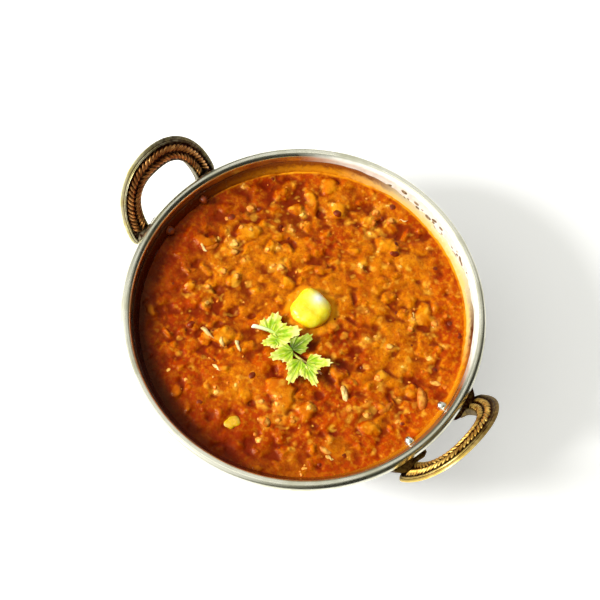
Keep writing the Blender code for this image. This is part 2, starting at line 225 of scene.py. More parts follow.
def make_mottling():
    tree, start, end = new_group(
        "mottling", SHADER_TREE,
        [("Size", FLOAT, 4.0), ("Low", FLOAT, 0.4), ("High", FLOAT, 0.6), ("Detail", FLOAT, 3.0)],
        [("Mask", FLOAT)])
    cloud = noise_of(tree, own_place(tree), start["Size"], start["Detail"])
    tree.links.new(ramp(tree, cloud, start["Low"], start["High"], smooth=True), end["Mask"])
    return tree


def make_fine_grain():
    tree, start, end = new_group(
        "fine grain", SHADER_TREE, [("Size", FLOAT, 0.5), ("Depth", FLOAT, 0.05)], [("Height", FLOAT)])
    cloud = noise_of(tree, own_place(tree), start["Size"], 2.0)
    tree.links.new(product(tree, start["Depth"], MM, cloud), end["Height"])
    return tree


def make_turning_marks():
    tree, start, end = new_group("turning marks", SHADER_TREE, [("Spacing", FLOAT, 0.3)], [("Mask", FLOAT)])
    place = parts_of(tree, own_place(tree))
    ring = join_parts(tree, from_axis(tree, place), place[2])
    tree.links.new(noise_of(tree, ring, start["Spacing"], 4.0), end["Mask"])
    return tree


mottling, fine_grain, turning_marks = make_mottling(), make_fine_grain(), make_turning_marks()
print("shader groups:", mottling.name, fine_grain.name, turning_marks.name)

# %% [markdown]
# Every finish starts from a Principled shader. Values that are the same all over are set on its
# own sockets; only what changes over the surface is linked. Attributes written on a mesh, such as
# how worn a ridge of brass is, are read with an Attribute node.

# %% Helpers for finishes
def new_finish(name, constants):
    material = bpy.data.materials.new(name)
    material.use_nodes = True
    tree = material.node_tree
    shader = tree.nodes["Principled BSDF"]
    for socket, value in constants.items():
        shader.inputs[socket].default_value = value
    return material, tree, shader


def mix_colours(tree, mask, low, high):
    """low where the mask is 0, high where it is 1; each is a colour code or a socket."""
    low, high = (paint(c) if isinstance(c, str) else c for c in (low, high))
    return add_node(tree, "ShaderNodeMix", {0: mask, 6: low, 7: high}, data_type="RGBA").outputs[2]


def read_attribute(tree, name):
    return add_node(tree, "ShaderNodeAttribute", attribute_name=name).outputs["Fac"]


def add_bump(tree, shader, height, strength=1.0):
    bump = add_node(tree, "ShaderNodeBump", {"Height": height, "Strength": strength, "Distance": 1.0})
    tree.links.new(bump.outputs[0], shader.inputs["Normal"])


def link_inputs(tree, shader, **values):
    for name, value in values.items():
        tree.links.new(value, shader.inputs[name.replace("_", " ").title()])


def mottled_finish(name, constants, size, edges, shades, roughness):
    """Two shades in patches of a size in mm, for small pieces that need no more."""
    material, tree, shader = new_finish(name, constants)
    patches = use_group(tree, mottling, size=size, low=edges[0], high=edges[1])
    link_inputs(tree, shader, base_color=mix_colours(tree, patches, *shades),
                roughness=spread(tree, patches, *roughness))
    return material


# %% [markdown]
# Pieces come from plain lists of points and faces, or from a Geometry Nodes tree that is run once
# and kept as a plain mesh. Each finished piece rides on the frame's one body and hides the plain
# node that it replaces.

# %% Helpers for pieces
def new_mesh(name, points, faces, material, smooth=True):
    mesh = bpy.data.meshes.new(name)
    mesh.from_pydata(np.asarray(points, float).reshape(-1, 3).tolist(), [], faces)
    if faces:
        shape = bmesh.new()
        shape.from_mesh(mesh)
        bmesh.ops.recalc_face_normals(shape, faces=shape.faces)
        shape.to_mesh(mesh)
        shape.free()
    mesh.materials.append(material)
    if smooth:
        mesh.shade_smooth()
    return mesh


def new_piece(name, content):
    piece = bpy.data.objects.new(name, content)
    scene.collection.objects.link(piece)
    return piece


def keep_result(piece):
    """The evaluated piece as a plain mesh, with no modifier left on it."""
    graph = bpy.context.evaluated_depsgraph_get()
    mesh = bpy.data.meshes.new_from_object(
        piece.evaluated_get(graph), preserve_all_data_layers=True, depsgraph=graph)
    piece.modifiers.clear()
    piece.data = mesh
    return piece


def grow(name, tree, host, settings):
    """Run a Geometry Nodes tree on a host mesh and keep what it makes."""
    piece = new_piece(name, host)
    modifier = piece.modifiers.new(name, "NODES")
    modifier.node_group = tree
    for item in tree.interface.items_tree:
        if item.item_type == "SOCKET" and item.in_out == "INPUT" and item.name in settings:
            modifier[item.identifier] = settings[item.name]
    return keep_result(piece)


def dress(piece, slot, *nodes):
    """Fix a piece to the frame in place of these nodes."""
    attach(piece, "root")
    if nodes:
        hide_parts(*nodes)
    piece.data.calc_loop_triangles()
    size = [round(side / MM, 1) for side in piece.dimensions]
    print("%s: %d triangles, %s mm" % (piece.name, len(piece.data.loop_triangles), size))
    return piece


def grid_faces(rows, columns, wrap=False):
    """Quads between rows of points; wrap joins the last column to the first."""
    faces = []
    for row in range(rows - 1):
        for column in range(columns if wrap else columns - 1):
            after = (column + 1) % columns
            low, high = row * columns, (row + 1) * columns
            faces.append((low + column, low + after, high + after, high + column))
    return faces


def tube_faces(rows, columns):
    """Quads round a tube, closed by one flat face at each end."""
    ends = [tuple(range(columns)), tuple(range((rows - 1) * columns, rows * columns))]
    return grid_faces(rows, columns, wrap=True) + ends


def set_attribute(mesh, name, values):
    mesh.attributes.new(name, "FLOAT", "POINT").data.foreach_set("value", np.asarray(values, np.float32))


# %% [markdown]
# ## The karahi
# A karahi is spun from one sheet of steel on a lathe, and its edge is rolled into a bead. In
# Blender such a piece could be a Screw modifier, a spun profile or a lathe tree. Here a Geometry
# Nodes tree turns a profile: Curve to Mesh sweeps it round a guide circle, and Merge by Distance
# closes the two poles. The rivets are turned pieces as well, so the same tree serves both.

# %% A tree that turns a profile
GUIDE_RADIUS = 10 * MM


def end_tree(tree, shape, start, end):
    """Shade the shape smooth, give it its finish and send it out."""
    smooth = add_node(tree, "GeometryNodeSetShadeSmooth", {0: shape}).outputs[0]
    done = add_node(tree, "GeometryNodeSetMaterial", {0: smooth, "Material": start["Finish"]}).outputs[0]
    tree.links.new(done, end["Geometry"])
    return tree


def make_turner():
    tree, start, end = new_group(
        "turn a profile", GEOMETRY_TREE,
        [("Profile", GEOMETRY), ("Steps", WHOLE, 64), ("Finish", MATERIAL)], [("Geometry", GEOMETRY)])
    outline = add_node(tree, "GeometryNodeMeshToCurve", {0: start["Profile"]}).outputs[0]
    moved = add_node(tree, "GeometryNodeTransform", {
        0: outline, "Translation": (-GUIDE_RADIUS, 0.0, 0.0), "Scale": (1.0, -1.0, 1.0)}).outputs[0]
    guide = add_node(tree, "GeometryNodeCurvePrimitiveCircle",
                     {"Resolution": start["Steps"], "Radius": GUIDE_RADIUS}).outputs[0]
    shell = add_node(tree, "GeometryNodeCurveToMesh", {0: guide, 1: moved}).outputs[0]
    closed = add_node(tree, "GeometryNodeMergeByDistance", {0: shell, "Distance": 0.001 * MM}).outputs[0]
    return end_tree(tree, closed, start, end)


def profile_mesh(name, points):
    """A profile of (radius, height) as a chain of edges in the XY plane."""
    mesh = bpy.data.meshes.new(name)
    edges = [(i, i + 1) for i in range(len(points) - 1)]
    mesh.from_pydata([(radius, height, 0.0) for radius, height in points], edges, [])
    return mesh


turner = make_turner()
print("turning tree:", len(turner.nodes), "nodes")

# %% [markdown]
# The steel is polished, so most of its look is what it mirrors. What makes it read as steel and
# not as a perfect mirror is the fine grain of its turning marks, in roughness and in height, and
# a slight warm dulling in patches where the dish has been wiped. The outside is left satin, as such
# bowls are. On one side the inside of the wall carries a pale haze, where thin gravy has dried.

# %% Steel finish
HAZE_AZIMUTH = math.radians(75)                        # the dried haze is widest here
HAZE_SIDE = (38 * MM, 54 * MM)                         # how far out that way it starts and is full
HAZE_TOP = (BEAD_Z + 2.25 * MM, BEAD_Z + 1.7 * MM)     # it ends on the crown of the bead
SATIN_TOP = (BEAD_Z - 2.1 * MM, BEAD_Z - 3.4 * MM)     # the outside is satin from here down


def make_steel():
    material, tree, shader = new_finish("karahi_steel", {})
    place = parts_of(tree, own_place(tree))
    rings = use_group(tree, turning_marks, spacing=0.35)
    wiped = use_group(tree, mottling, size=14.0, low=0.42, high=0.66)
    colour = mix_colours(tree, wiped, "e2e0d0", "cccab2")
    rough = maths(tree, "ADD", spread(tree, rings, 0.18, 0.34), spread(tree, wiped, 0.0, 0.06))
    towards = maths(tree, "ADD", maths(tree, "MULTIPLY", place[0], math.cos(HAZE_AZIMUTH)),
                    maths(tree, "MULTIPLY", place[1], math.sin(HAZE_AZIMUTH)))
    outwards = maths(tree, "SUBTRACT", from_axis(tree, place),
                     maths(tree, "MULTIPLY_ADD", place[2], WALL_FLARE, wall_radius(0.0)))
    patchy = use_group(tree, mottling, size=2.2, low=0.25, high=0.6)
    haze = product(tree, ramp(tree, towards, *HAZE_SIDE), ramp(tree, outwards, 0.9 * MM, 0.3 * MM),
                   ramp(tree, place[2], *HAZE_TOP), spread(tree, patchy, 0.7, 1.0))
    satin = product(tree, ramp(tree, place[2], *SATIN_TOP), ramp(tree, outwards, 0.4 * MM, 0.9 * MM))
    colour = mix_colours(tree, satin, colour, mix_colours(tree, wiped, "aeaca6", "a6a49e"))
    rough = maths(tree, "MULTIPLY_ADD", satin, 0.14, rough)
    link_inputs(tree, shader, base_color=mix_colours(tree, haze, colour, "f4f2e6"),
                metallic=spread(tree, haze, 1.0, 0.12),
                roughness=maths(tree, "MULTIPLY_ADD", haze, 0.2, rough))
    add_bump(tree, shader, product(tree, rings, 0.02 * MM))
    return material


steel = make_steel()
print("steel:", len(steel.node_tree.nodes), "nodes")

# %% [markdown]
# The karahi's profile goes from the middle of the floor up the inside, round the bead and down the
# outside to the middle of the base. The corner between floor and wall is an arc that touches both,
# so its radius follows from the mouth, the base and the slope of the wall.

# %% Turn the karahi
CORNER_RADIUS = ((MOUTH_RADIUS - BASE_RADIUS) * math.sin(WALL_ANGLE)
                 - MOUTH_Z * math.cos(WALL_ANGLE) + SHEET) / (1.0 - math.cos(WALL_ANGLE))


def corner_arc(outwards, steps=20):
    """The rounded corner from the flat bottom to the wall, at a distance from its inner face."""
    radius = CORNER_RADIUS - SHEET + outwards
    angles = [WALL_ANGLE * step / steps for step in range(steps + 1)]
    return [(BASE_RADIUS + radius * math.sin(a), CORNER_RADIUS - radius * math.cos(a)) for a in angles]


def bead_angle(outwards):
    """Where on the bead a face of the wall runs into it from below."""
    reach = (wall_radius(BEAD_Z, outwards) - BEAD_CENTRE) * math.sin(WALL_ANGLE)
    down = math.sqrt(BEAD_RADIUS ** 2 - reach ** 2)
    across = reach * math.sin(WALL_ANGLE) - down * math.cos(WALL_ANGLE)
    return math.atan2(-reach * math.cos(WALL_ANGLE) - down * math.sin(WALL_ANGLE), across)


def karahi_profile():
    inside, underside = bead_angle(0.0) % (2.0 * math.pi), bead_angle(SHEET)
    angles = np.linspace(inside, underside, 41)
    bead = [(BEAD_CENTRE + BEAD_RADIUS * math.cos(a), BEAD_Z + BEAD_RADIUS * math.sin(a)) for a in angles]
    floor_steps = [(BASE_RADIUS * share, SHEET) for share in (0.0, 0.3, 0.6)]
    under_steps = [(BASE_RADIUS * share, 0.0) for share in (0.6, 0.3, 0.0)]
    return floor_steps + corner_arc(0.0) + bead + corner_arc(SHEET)[::-1] + under_steps


karahi = grow("karahi", turner, profile_mesh("karahi_profile", karahi_profile()),
              {"Steps": 200, "Finish": steel})
dress(karahi, "steel", "bowl")

# %% [markdown]
# ## The rivets
# Each handle is held by two steel rivets with domed heads inside the bowl. They repeat, so a
# small tree turns one rivet and sets it on two points round the wall, leaning as the wall does.
# The far pair lies under a coat of gravy, painted dark as shade, so it gets the gravy's finish further down.

# %% A tree that sets a pair of rivets
RIVET_HEIGHT = BEAD_Z - 6.1 * MM
RIVET_RADIUS = wall_radius(RIVET_HEIGHT)
RIVET_SWING = math.asin(10.9 * MM / RIVET_RADIUS)
HEAD_RADIUS, HEAD_HEIGHT = 2.2 * MM, 3.4 * MM
SHANK_RADIUS = 1.1 * MM
SHANK_END = 81.1 * MM                   # how far out the shank reaches
SHANK_LENGTH = (SHANK_END - RIVET_RADIUS) * math.sin(WALL_ANGLE)


def make_rivet_setter():
    tree, start, end = new_group(
        "set a pair of rivets", GEOMETRY_TREE,
        [("Profile", GEOMETRY), ("Turn", FLOAT, 0.0), ("Swing", FLOAT, 0.1), ("Radius", FLOAT, 0.07),
         ("Height", FLOAT, 0.05), ("Tilt", FLOAT, 0.0), ("Finish", MATERIAL)], [("Geometry", GEOMETRY)])
    rivet = use_group(tree, turner, profile=start["Profile"], steps=32, finish=start["Finish"])
    index = add_node(tree, "GeometryNodeInputIndex").outputs[0]
    side = maths(tree, "MULTIPLY_ADD", index, 2.0, -1.0)
    angle = maths(tree, "MULTIPLY_ADD", side, start["Swing"], start["Turn"])
    spot = join_parts(tree, product(tree, start["Radius"], maths(tree, "COSINE", angle)),
                      product(tree, start["Radius"], maths(tree, "SINE", angle)), start["Height"])
    lean = join_parts(tree, 0.0, start["Tilt"], angle)
    points = add_node(tree, "GeometryNodePoints", {"Count": 2, "Position": spot}).outputs[0]
    placed = add_node(tree, "GeometryNodeInstanceOnPoints",
                      {"Points": points, "Instance": rivet, "Rotation": lean}).outputs[0]
    real = add_node(tree, "GeometryNodeRealizeInstances", {0: placed}).outputs[0]
    return end_tree(tree, real, start, end)


def rivet_profile():
    quarter = np.linspace(0, math.pi / 2, 12)
    dome = [(HEAD_RADIUS * math.sin(angle), HEAD_HEIGHT * math.cos(angle)) for angle in quarter]
    foot = [(HEAD_RADIUS * 0.96, 0.05 * MM), (SHANK_RADIUS, 0.05 * MM), (SHANK_RADIUS, -SHANK_LENGTH)]
    return dome + foot + [(0.0, -SHANK_LENGTH)]


rivet_setter = make_rivet_setter()


def set_rivets(name, turn, finish, *nodes):
    sizes = {"Turn": turn, "Swing": RIVET_SWING, "Radius": RIVET_RADIUS, "Height": RIVET_HEIGHT,
             "Tilt": -WALL_ANGLE, "Finish": finish}
    pair = grow(name, rivet_setter, profile_mesh("rivet_profile", rivet_profile()), sizes)
    return dress(pair, "rivet_steel", *nodes)


rivet_steel = mottled_finish("rivet_steel_polished", {"Metallic": 1.0}, 1.2, (0.35, 0.7),
                             ("e6e6da", "b9b9ac"), (0.16, 0.34))
set_rivets("rivets_near", 0.0, rivet_steel, "rivet_near_left", "rivet_near_right")

# %% [markdown]
# ## The handles
# The handles are cast in brass: a flat band bent to a loop, with a laurel of two rows of oblique
# leaves between raised cords, and two lugs that carry the rivets. The casting is dark where
# polishing doesn't reach. A sculpted mesh would do, but the handle follows rules: four rounded
# loops give the band's four edges, so the band is a grid of points worked out section by
# section, and the leaves are one shape repeated along it, which is work for Geometry Nodes.

# %% Sizes of the handle, for the one on +X
FOOT_RADIUS = 79.0 * MM                # where the band's face crosses its base line
FOOT_Z = BEAD_Z - 4.8 * MM
HOLE_LOOP = (15.9 * MM, 21.9 * MM, 2.67, math.radians(63.9))   # half width, length, squareness, lean
FACE_LOOP = (26.5 * MM, 35.1 * MM, 1.98, math.radians(67.2))
BACK_LOOP = (27.0 * MM, 35.0 * MM, 2.20, math.radians(61.0))
BAND_LEAN = math.radians(65.5)
BAND_THROUGH = 3.6 * MM * Vector((math.sin(BAND_LEAN), 0.0, -math.cos(BAND_LEAN)))
FACE_NORMAL = -BAND_THROUGH.normalized()
LEG_DOWN = -5.0 * MM * Vector((math.cos(BAND_LEAN), 0.0, math.sin(BAND_LEAN)))
LEG_TUCK = 2.0 * MM
LOOP_STEPS = 230
print("handle: %.0f mm wide, feet %.1f mm out" % (2 * FACE_LOOP[0] / MM, FOOT_RADIUS / MM))


def loop_point(loop, angle):
    """A point on one of the band's edges; the angle runs from 0 at one foot to pi at the other."""
    half_width, length, squareness, lean = loop
    cosine, sine = math.cos(angle), max(math.sin(angle), 0.0)
    sideways = math.copysign(half_width * abs(cosine) ** (2.0 / squareness), cosine)
    along = length * sine ** (2.0 / squareness)
    return Vector((FOOT_RADIUS + along * math.cos(lean), sideways, FOOT_Z + along * math.sin(lean)))


def band_corners(angle):
    hole, outer, back = (loop_point(loop, angle) for loop in (HOLE_LOOP, FACE_LOOP, BACK_LOOP))
    return [hole, outer, back + 0.5 * (1.0 - math.sin(angle)) * BAND_THROUGH, hole + 1.2 * BAND_THROUGH]


# %% [markdown]
# The front of the band is domed: it starts flat at the hole and rolls over to the outer edge, so
# its section is an arc. On that arc lie a narrow lip round the hole, the sunk floor under the
# leaves, two thin cords and a smooth shoulder. `front_relief` gives their height, from 0 at the
# hole to 1 at the outer edge, and `front_wear` says how far polishing has brightened them.

# %% The band's front
LEAF_ROWS = (0.215, 0.530)
FLOOR_START, FLOOR_END, FLOOR_SLOPE = 0.045, 0.725, 0.03
FLOOR_DEPTH = 0.50                                         # in mm
CORDS = ((0.752, 0.015, 0.26), (0.790, 0.015, 0.24))       # middle, half width, height in mm
SHOULDER, SHOULDER_SLOPE, SHOULDER_STEP = 0.825, 0.02, 0.12
FLAT_SHARE = 0.14                                          # the front is flat as far as this
ROLL = math.radians(44)                                    # how far it then rolls over


def ease(value, low, high):
    """0 below low, 1 above high, smooth between them."""
    share = min(max((value - low) / (high - low), 0.0), 1.0)
    return share * share * (3.0 - 2.0 * share)


def cord_height(across, middle, half_width):
    return max(1.0 - ((across - middle) / half_width) ** 2, 0.0) ** 0.5


def front_relief(across):
    floor = (ease(across, FLOOR_START - FLOOR_SLOPE, FLOOR_START + FLOOR_SLOPE)
             * ease(-across, -FLOOR_END - FLOOR_SLOPE, -FLOOR_END + FLOOR_SLOPE))
    cords = sum(height * cord_height(across, middle, half) for middle, half, height in CORDS)
    step = SHOULDER_STEP * ease(-across, -SHOULDER - SHOULDER_SLOPE, -SHOULDER)
    return (cords - FLOOR_DEPTH * floor - step) * MM


def front_wear(across):
    cords = max(cord_height(across, middle, half) for middle, half, _ in CORDS)
    return max(cords, ease(-across, -FLOOR_START, 0.0), ease(across, SHOULDER, SHOULDER + SHOULDER_SLOPE))


def front_point(corners, across):
    """Place and outward normal on the band's front, between its hole edge and its outer edge."""
    hole, outer, back = corners[:3]
    turn = max(across - FLAT_SHARE, 0.0) / (1.0 - FLAT_SHARE) * ROLL
    along = min(across, FLAT_SHARE) + (1.0 - FLAT_SHARE) * math.sin(turn) / math.sin(ROLL)
    down = (1.0 - math.cos(turn)) / (1.0 - math.cos(ROLL))
    place = hole + (outer - hole) * along + (back - outer) * down
    tilt = math.atan2(math.sin(turn) * (back - outer).length / (1.0 - math.cos(ROLL)),
                      math.cos(turn) * (outer - hole).length * (1.0 - FLAT_SHARE) / math.sin(ROLL))
    return place, math.cos(tilt) * FACE_NORMAL + math.sin(tilt) * (outer - hole).normalized()


print("band front:", len(LEAF_ROWS), "rows of leaves,", len(CORDS), "cords")

# %% [markdown]
# One section of the band runs round three rounded edges: up over the front with its relief, down
# the slightly hollow back and across the inner side. Each point also gets how far it is worn
# and whether it lies on the plain back, for the finish to read. The band is all its sections in
# a row, with two short legs that run down to the lugs.

# %% A section of the band
EDGE_ROUNDING = (0.5 * MM, 1.1 * MM, 0.8 * MM)       # hole edge, outer edge, inner back edge
SIDE_STEPS = (56, 16, 6)
BACK_HOLLOW = 0.8 * MM
FRONT_MARGINS = (4, 7)                                # steps left to the rounded edges
ARC_SHARES = (0.0, 0.25, 0.5, 0.75, 1.0)
EDGE_WEAR = (1.0, 1.0, 0.7)                           # how worn each rounded edge is
BACK_WEAR, HOLLOW_WEAR = 0.85, 0.70


def band_section(corners):
    """Points round the band, how worn each is, and how much of each is the plain hollow back."""
    shares = [step / SIDE_STEPS[0] for step in range(SIDE_STEPS[0] + 1)]
    front = [front_point(corners, share)[0] for share in shares]
    reliefs = [front_relief(share) * front_point(corners, share)[1] for share in shares]
    edges = [corners[0], corners[2], corners[3]]
    towards = [front[1] - front[0], corners[3] - corners[2], corners[0] - corners[3]]
    away = [corners[3] - corners[0], front[-2] - front[-1], corners[2] - corners[3]]
    points, wear_and_shade, behind = [], [], []
    for side, corner in enumerate(edges):
        start = away[side].normalized() * EDGE_ROUNDING[side]
        end = towards[side].normalized() * EDGE_ROUNDING[side]
        for share in ARC_SHARES:
            points.append(corner + start * (1.0 - share) ** 2 + end * share ** 2)
            wear_and_shade.append(EDGE_WEAR[side])
        if side == 0:
            inner = range(FRONT_MARGINS[0], SIDE_STEPS[0] + 1 - FRONT_MARGINS[1])
            points += [front[step] + reliefs[step] for step in inner]
            wear_and_shade += [front_wear(shares[step]) for step in inner]
        else:
            following = (side + 1) % 3
            after = edges[following] + away[following].normalized() * EDGE_ROUNDING[following]
            for step in range(1, SIDE_STEPS[side]):
                share = step / SIDE_STEPS[side]
                hollow = ease(share, 0.10, 0.24) * ease(-share, -0.90, -0.76) if side == 1 else 0.0
                points.append((corner + end).lerp(after, share) + BACK_HOLLOW * hollow * FACE_NORMAL)
                wear_and_shade.append(BACK_WEAR + (HOLLOW_WEAR - BACK_WEAR) * hollow)
                behind += [0.0] * (len(points) - len(behind) - 1) + [hollow]
    return points, wear_and_shade, behind + [0.0] * (len(points) - len(behind))


def make_band():
    sections = []
    for side, angle in ((1.0, 0.0), (-1.0, math.pi)):
        leg = []
        for share in (1.0, 0.5):
            tuck = Vector((0.0, -side * LEG_TUCK * share ** 2, 0.0))
            leg.append([corner + share * LEG_DOWN + tuck for corner in band_corners(angle)])
        sections.append(leg)
    loop = [band_corners(math.pi * step / LOOP_STEPS) for step in range(LOOP_STEPS + 1)]
    points, wear_and_shade, behind = [], [], []
    for corners in sections[0] + loop + sections[1][::-1]:
        section_points, section_wear, section_behind = band_section(corners)
        points += section_points
        wear_and_shade += section_wear
        behind += section_behind
    count = len(section_points)
    return points, wear_and_shade, behind, tube_faces(len(points) // count, count)


band = make_band()
print("band:", len(band[0]), "points")

# %% [markdown]
# A lug is a small block between the band's foot and the outside of the wall. Its inner face
# follows the wall's cone, its outline comes from a few corners seen from above, and both its
# ends are drawn in slightly so that no edge is sharp.

# %% The lugs
LUG_TOP, LUG_BOTTOM, LUG_EDGE = BEAD_Z - 3.4 * MM, BEAD_Z - 11.5 * MM, 0.8 * MM
LUG_STEPS = 24
LUG_SHOWN = 79.0 * MM             # farther out, the top of a lug is painted a little less dark
# outline seen from above: sideways, and how far out
LUG_SIDES = np.array((8.9, 9.6, 12.0, 15.0, 21.5, 23.8, 25.6)) * MM
LUG_REACH = np.array((77.4, 79.4, 80.2, 79.4, 79.6, 78.0, 75.2)) * MM


def make_lug(side):
    """Points and faces of one lug of the +X handle; side is 1 or -1."""
    points = []
    levels = [(LUG_TOP, 1.0), (LUG_TOP - 0.3 * LUG_EDGE, 0.4), (LUG_TOP - LUG_EDGE, 0.0),
              (LUG_BOTTOM + LUG_EDGE, 0.0), (LUG_BOTTOM, 1.0)]
    sides = np.linspace(LUG_SIDES[0], LUG_SIDES[-1], LUG_STEPS)
    for height, drawn_in in levels:
        lean = WALL_FLARE * (height - RIVET_HEIGHT) - drawn_in * LUG_EDGE
        outer = [(np.interp(y, LUG_SIDES, LUG_REACH) + lean, side * y, height) for y in sides]
        wall = wall_radius(height, SHEET + GAP)
        inner = [(math.sqrt(wall ** 2 - y ** 2), side * y, height) for y in sides[::-1]]
        points += outer + inner
    return points, tube_faces(len(levels), 2 * LUG_STEPS)


def make_casting():
    """Band and lugs of the +X handle, as lists of points, wear and painted shade, backs and faces."""
    points, wear_and_shade, behind, faces = (list(values) for values in band)
    for side in (1.0, -1.0):
        lug_points, lug_faces = make_lug(side)
        faces += [tuple(corner + len(points) for corner in face) for face in lug_faces]
        points += lug_points
        for x, y, z in lug_points:
            on_top = math.hypot(x, y) > LUG_SHOWN and z > LUG_TOP - LUG_EDGE - 0.01 * MM
            # the lugs are dark brass, partly as patina and partly as painted shade under the rim
            wear_and_shade.append(0.12 if on_top else -0.1)
        behind += [0.0] * len(lug_points)
    return points, wear_and_shade, behind, faces


print("casting:", len(make_casting()[0]), "points")

# %% [markdown]
# A leaf of the laurel, a lentil and a bean are all the same thing to Geometry Nodes: an oval
# grain set on a point, facing one way and heading another. One tree serves them all. It makes
# the grain from a sphere, may bend it as a bean is bent, marks how high each point of it lies,
# and sets it on every point of the host by the attributes "facing", "heading" and "scale".

# %% A tree that sets grains on points
def make_grain_setter():
    tree, start, end = new_group(
        "set grains on points", GEOMETRY_TREE,
        [("Points", GEOMETRY), ("Length", FLOAT, 0.004), ("Width", FLOAT, 0.003),
         ("Height", FLOAT, 0.002), ("Bend", FLOAT, 0.0), ("Taper", FLOAT, 0.0), ("Crumple", FLOAT, 0.0),
         ("Segments", WHOLE, 12), ("Rings", WHOLE, 8), ("Finish", MATERIAL)], [("Geometry", GEOMETRY)])
    ball = add_node(tree, "GeometryNodeMeshUVSphere",
                    {"Segments": start["Segments"], "Rings": start["Rings"], "Radius": 1.0}).outputs[0]
    place = parts_of(tree, add_node(tree, "GeometryNodeInputPosition").outputs[0])
    marked = add_node(tree, "GeometryNodeStoreNamedAttribute", {
        0: ball, "Name": "raised", "Value": maths(tree, "MULTIPLY_ADD", place[2], 0.5, 0.5)},
        data_type="FLOAT", domain="POINT").outputs[0]
    narrow = maths(tree, "SUBTRACT", 1.0, product(tree, start["Taper"], place[0]))
    bent = product(tree, place[0], place[0], start["Bend"])
    across = maths(tree, "MULTIPLY_ADD", place[1], narrow, bent)
    shaped = join_parts(tree, product(tree, start["Length"], 0.5, place[0]),
                        product(tree, start["Width"], 0.5, across),
                        product(tree, start["Height"], 0.5, place[2]))
    grain = add_node(tree, "GeometryNodeSetPosition", {0: marked, "Position": shaped}).outputs[0]

    def point_attribute(name, kind):
        return add_node(tree, "GeometryNodeInputNamedAttribute", {"Name": name}, data_type=kind).outputs[0]

    turned = add_node(tree, "FunctionNodeAxesToRotation", {
        0: point_attribute("facing", "FLOAT_VECTOR"), 1: point_attribute("heading", "FLOAT_VECTOR")},
        primary_axis="Z", secondary_axis="X").outputs[0]
    placed = add_node(tree, "GeometryNodeInstanceOnPoints", {
        "Points": start["Points"], "Instance": grain, "Rotation": turned,
        "Scale": point_attribute("scale", "FLOAT")}).outputs[0]
    real = add_node(tree, "GeometryNodeRealizeInstances", {0: placed}).outputs[0]
    noise = add_node(tree, "ShaderNodeTexNoise", {"Scale": 0.55 / MM, "Detail": 1.0})
    push = add_node(tree, "ShaderNodeVectorMath", {0: noise.outputs[1], 1: (0.5, 0.5, 0.5)},
                    operation="SUBTRACT").outputs[0]
    push = add_node(tree, "ShaderNodeVectorMath", {0: push, "Scale": start["Crumple"]},
                    operation="SCALE").outputs[0]
    uneven = add_node(tree, "GeometryNodeSetPosition", {0: real, "Offset": push}).outputs[0]
    return end_tree(tree, uneven, start, end)


grain_setter = make_grain_setter()


def grain_shape(length, width, height, crumple=0.0, bend=0.0, taper=0.0, segments=12, rings=8):
    """Inputs of the grain tree, with sizes given in mm."""
    return {"Length": length * MM, "Width": width * MM, "Height": height * MM, "Crumple": crumple * MM,
            "Bend": bend, "Taper": taper, "Segments": segments, "Rings": rings}


def grain_host(name, places, facings, headings, scales):
    mesh = bpy.data.meshes.new(name)
    mesh.from_pydata([tuple(place) for place in places], [], [])
    for label, values in (("facing", facings), ("heading", headings)):
        flat = np.asarray([tuple(v) for v in values], np.float32).ravel()
        mesh.attributes.new(label, "FLOAT_VECTOR", "POINT").data.foreach_set("vector", flat)
    set_attribute(mesh, "scale", scales)
    return mesh


print("grain tree:", len(grain_setter.nodes), "nodes")

# %% [markdown]
# The brass is bright where hands and polish reach it and dark brown in its hollows. Both the
# casting and the leaves carry that as an attribute, so one finish serves both, with mottling to
# break the line between bright and dark. On the casting the attribute also carries painted shade.
# The back is plain, duller brass.

# %% Brass finish
def make_brass(name, attribute, low, high, dull_shade, bright_shade, deep_shade, metal):
    """The attribute says how bright the brass is, from low to high."""
    material, tree, shader = new_finish(name, {})
    height = read_attribute(tree, attribute)
    patchy = use_group(tree, mottling, size=1.6, low=0.3, high=0.7)
    wear_and_shade = ramp(tree, maths(tree, "ADD", height, spread(tree, patchy, -0.12, 0.12)), low, high)
    dull = use_group(tree, mottling, size=7.0, low=0.35, high=0.65)
    shown = mix_colours(tree, wear_and_shade, deep_shade, mix_colours(tree, dull, bright_shade, dull_shade))
    behind = read_attribute(tree, "behind")
    colour = mix_colours(tree, behind, shown, mix_colours(tree, patchy, "7c6634", "8e783e"))
    link_inputs(tree, shader, base_color=colour, roughness=spread(tree, wear_and_shade, 0.55, 0.34),
                metallic=maths(tree, "MAXIMUM", behind, spread(tree, wear_and_shade, 1.0, metal)))
    add_bump(tree, shader, use_group(tree, fine_grain, size=0.4, depth=0.03))
    return material


near_brass = make_brass("brass_near", "wear_and_shade", 0.0, 1.0, "ccac50", "e4c878", "341204", 0.65)
near_leaves = make_brass("brass_near_leaves", "raised", 0.66, 0.97, "cc9c44", "f0c868", "3c1604", 0.9)
# The far handle's finishes are a lit and shaded copy of the near ones: its leaves are painted darker and
# redder as shade, its casting paler and less metallic as painted light.
far_brass = make_brass("brass_far", "wear_and_shade", 0.0, 1.0, "e4d48c", "fcf4c4", "300c04", 0.35)
far_leaves = make_brass("brass_far_leaves", "raised", 0.62, 0.97, "b07038", "e8a860", "3c1004", 0.9)
print("brass:", near_brass.name, near_leaves.name, far_brass.name, far_leaves.name)

# %% [markdown]
# Both handles are the same casting, and the far one is it turned by half a turn. On each, the
# side towards +Y faces away from the lamp and is painted darker, as shade.

# %% Cast both handles
SHADE_ON_PLUS_Y = 0.75                          # how much darker the +Y side of each handle is painted, as shade
SHADE_ON_PLUS_Y_FROM = 12 * MM                  # fully from here on that side, not at all this far on the other


def turned(points, half_turn):
    return [Vector((-p[0], -p[1], p[2])) for p in points] if half_turn else points


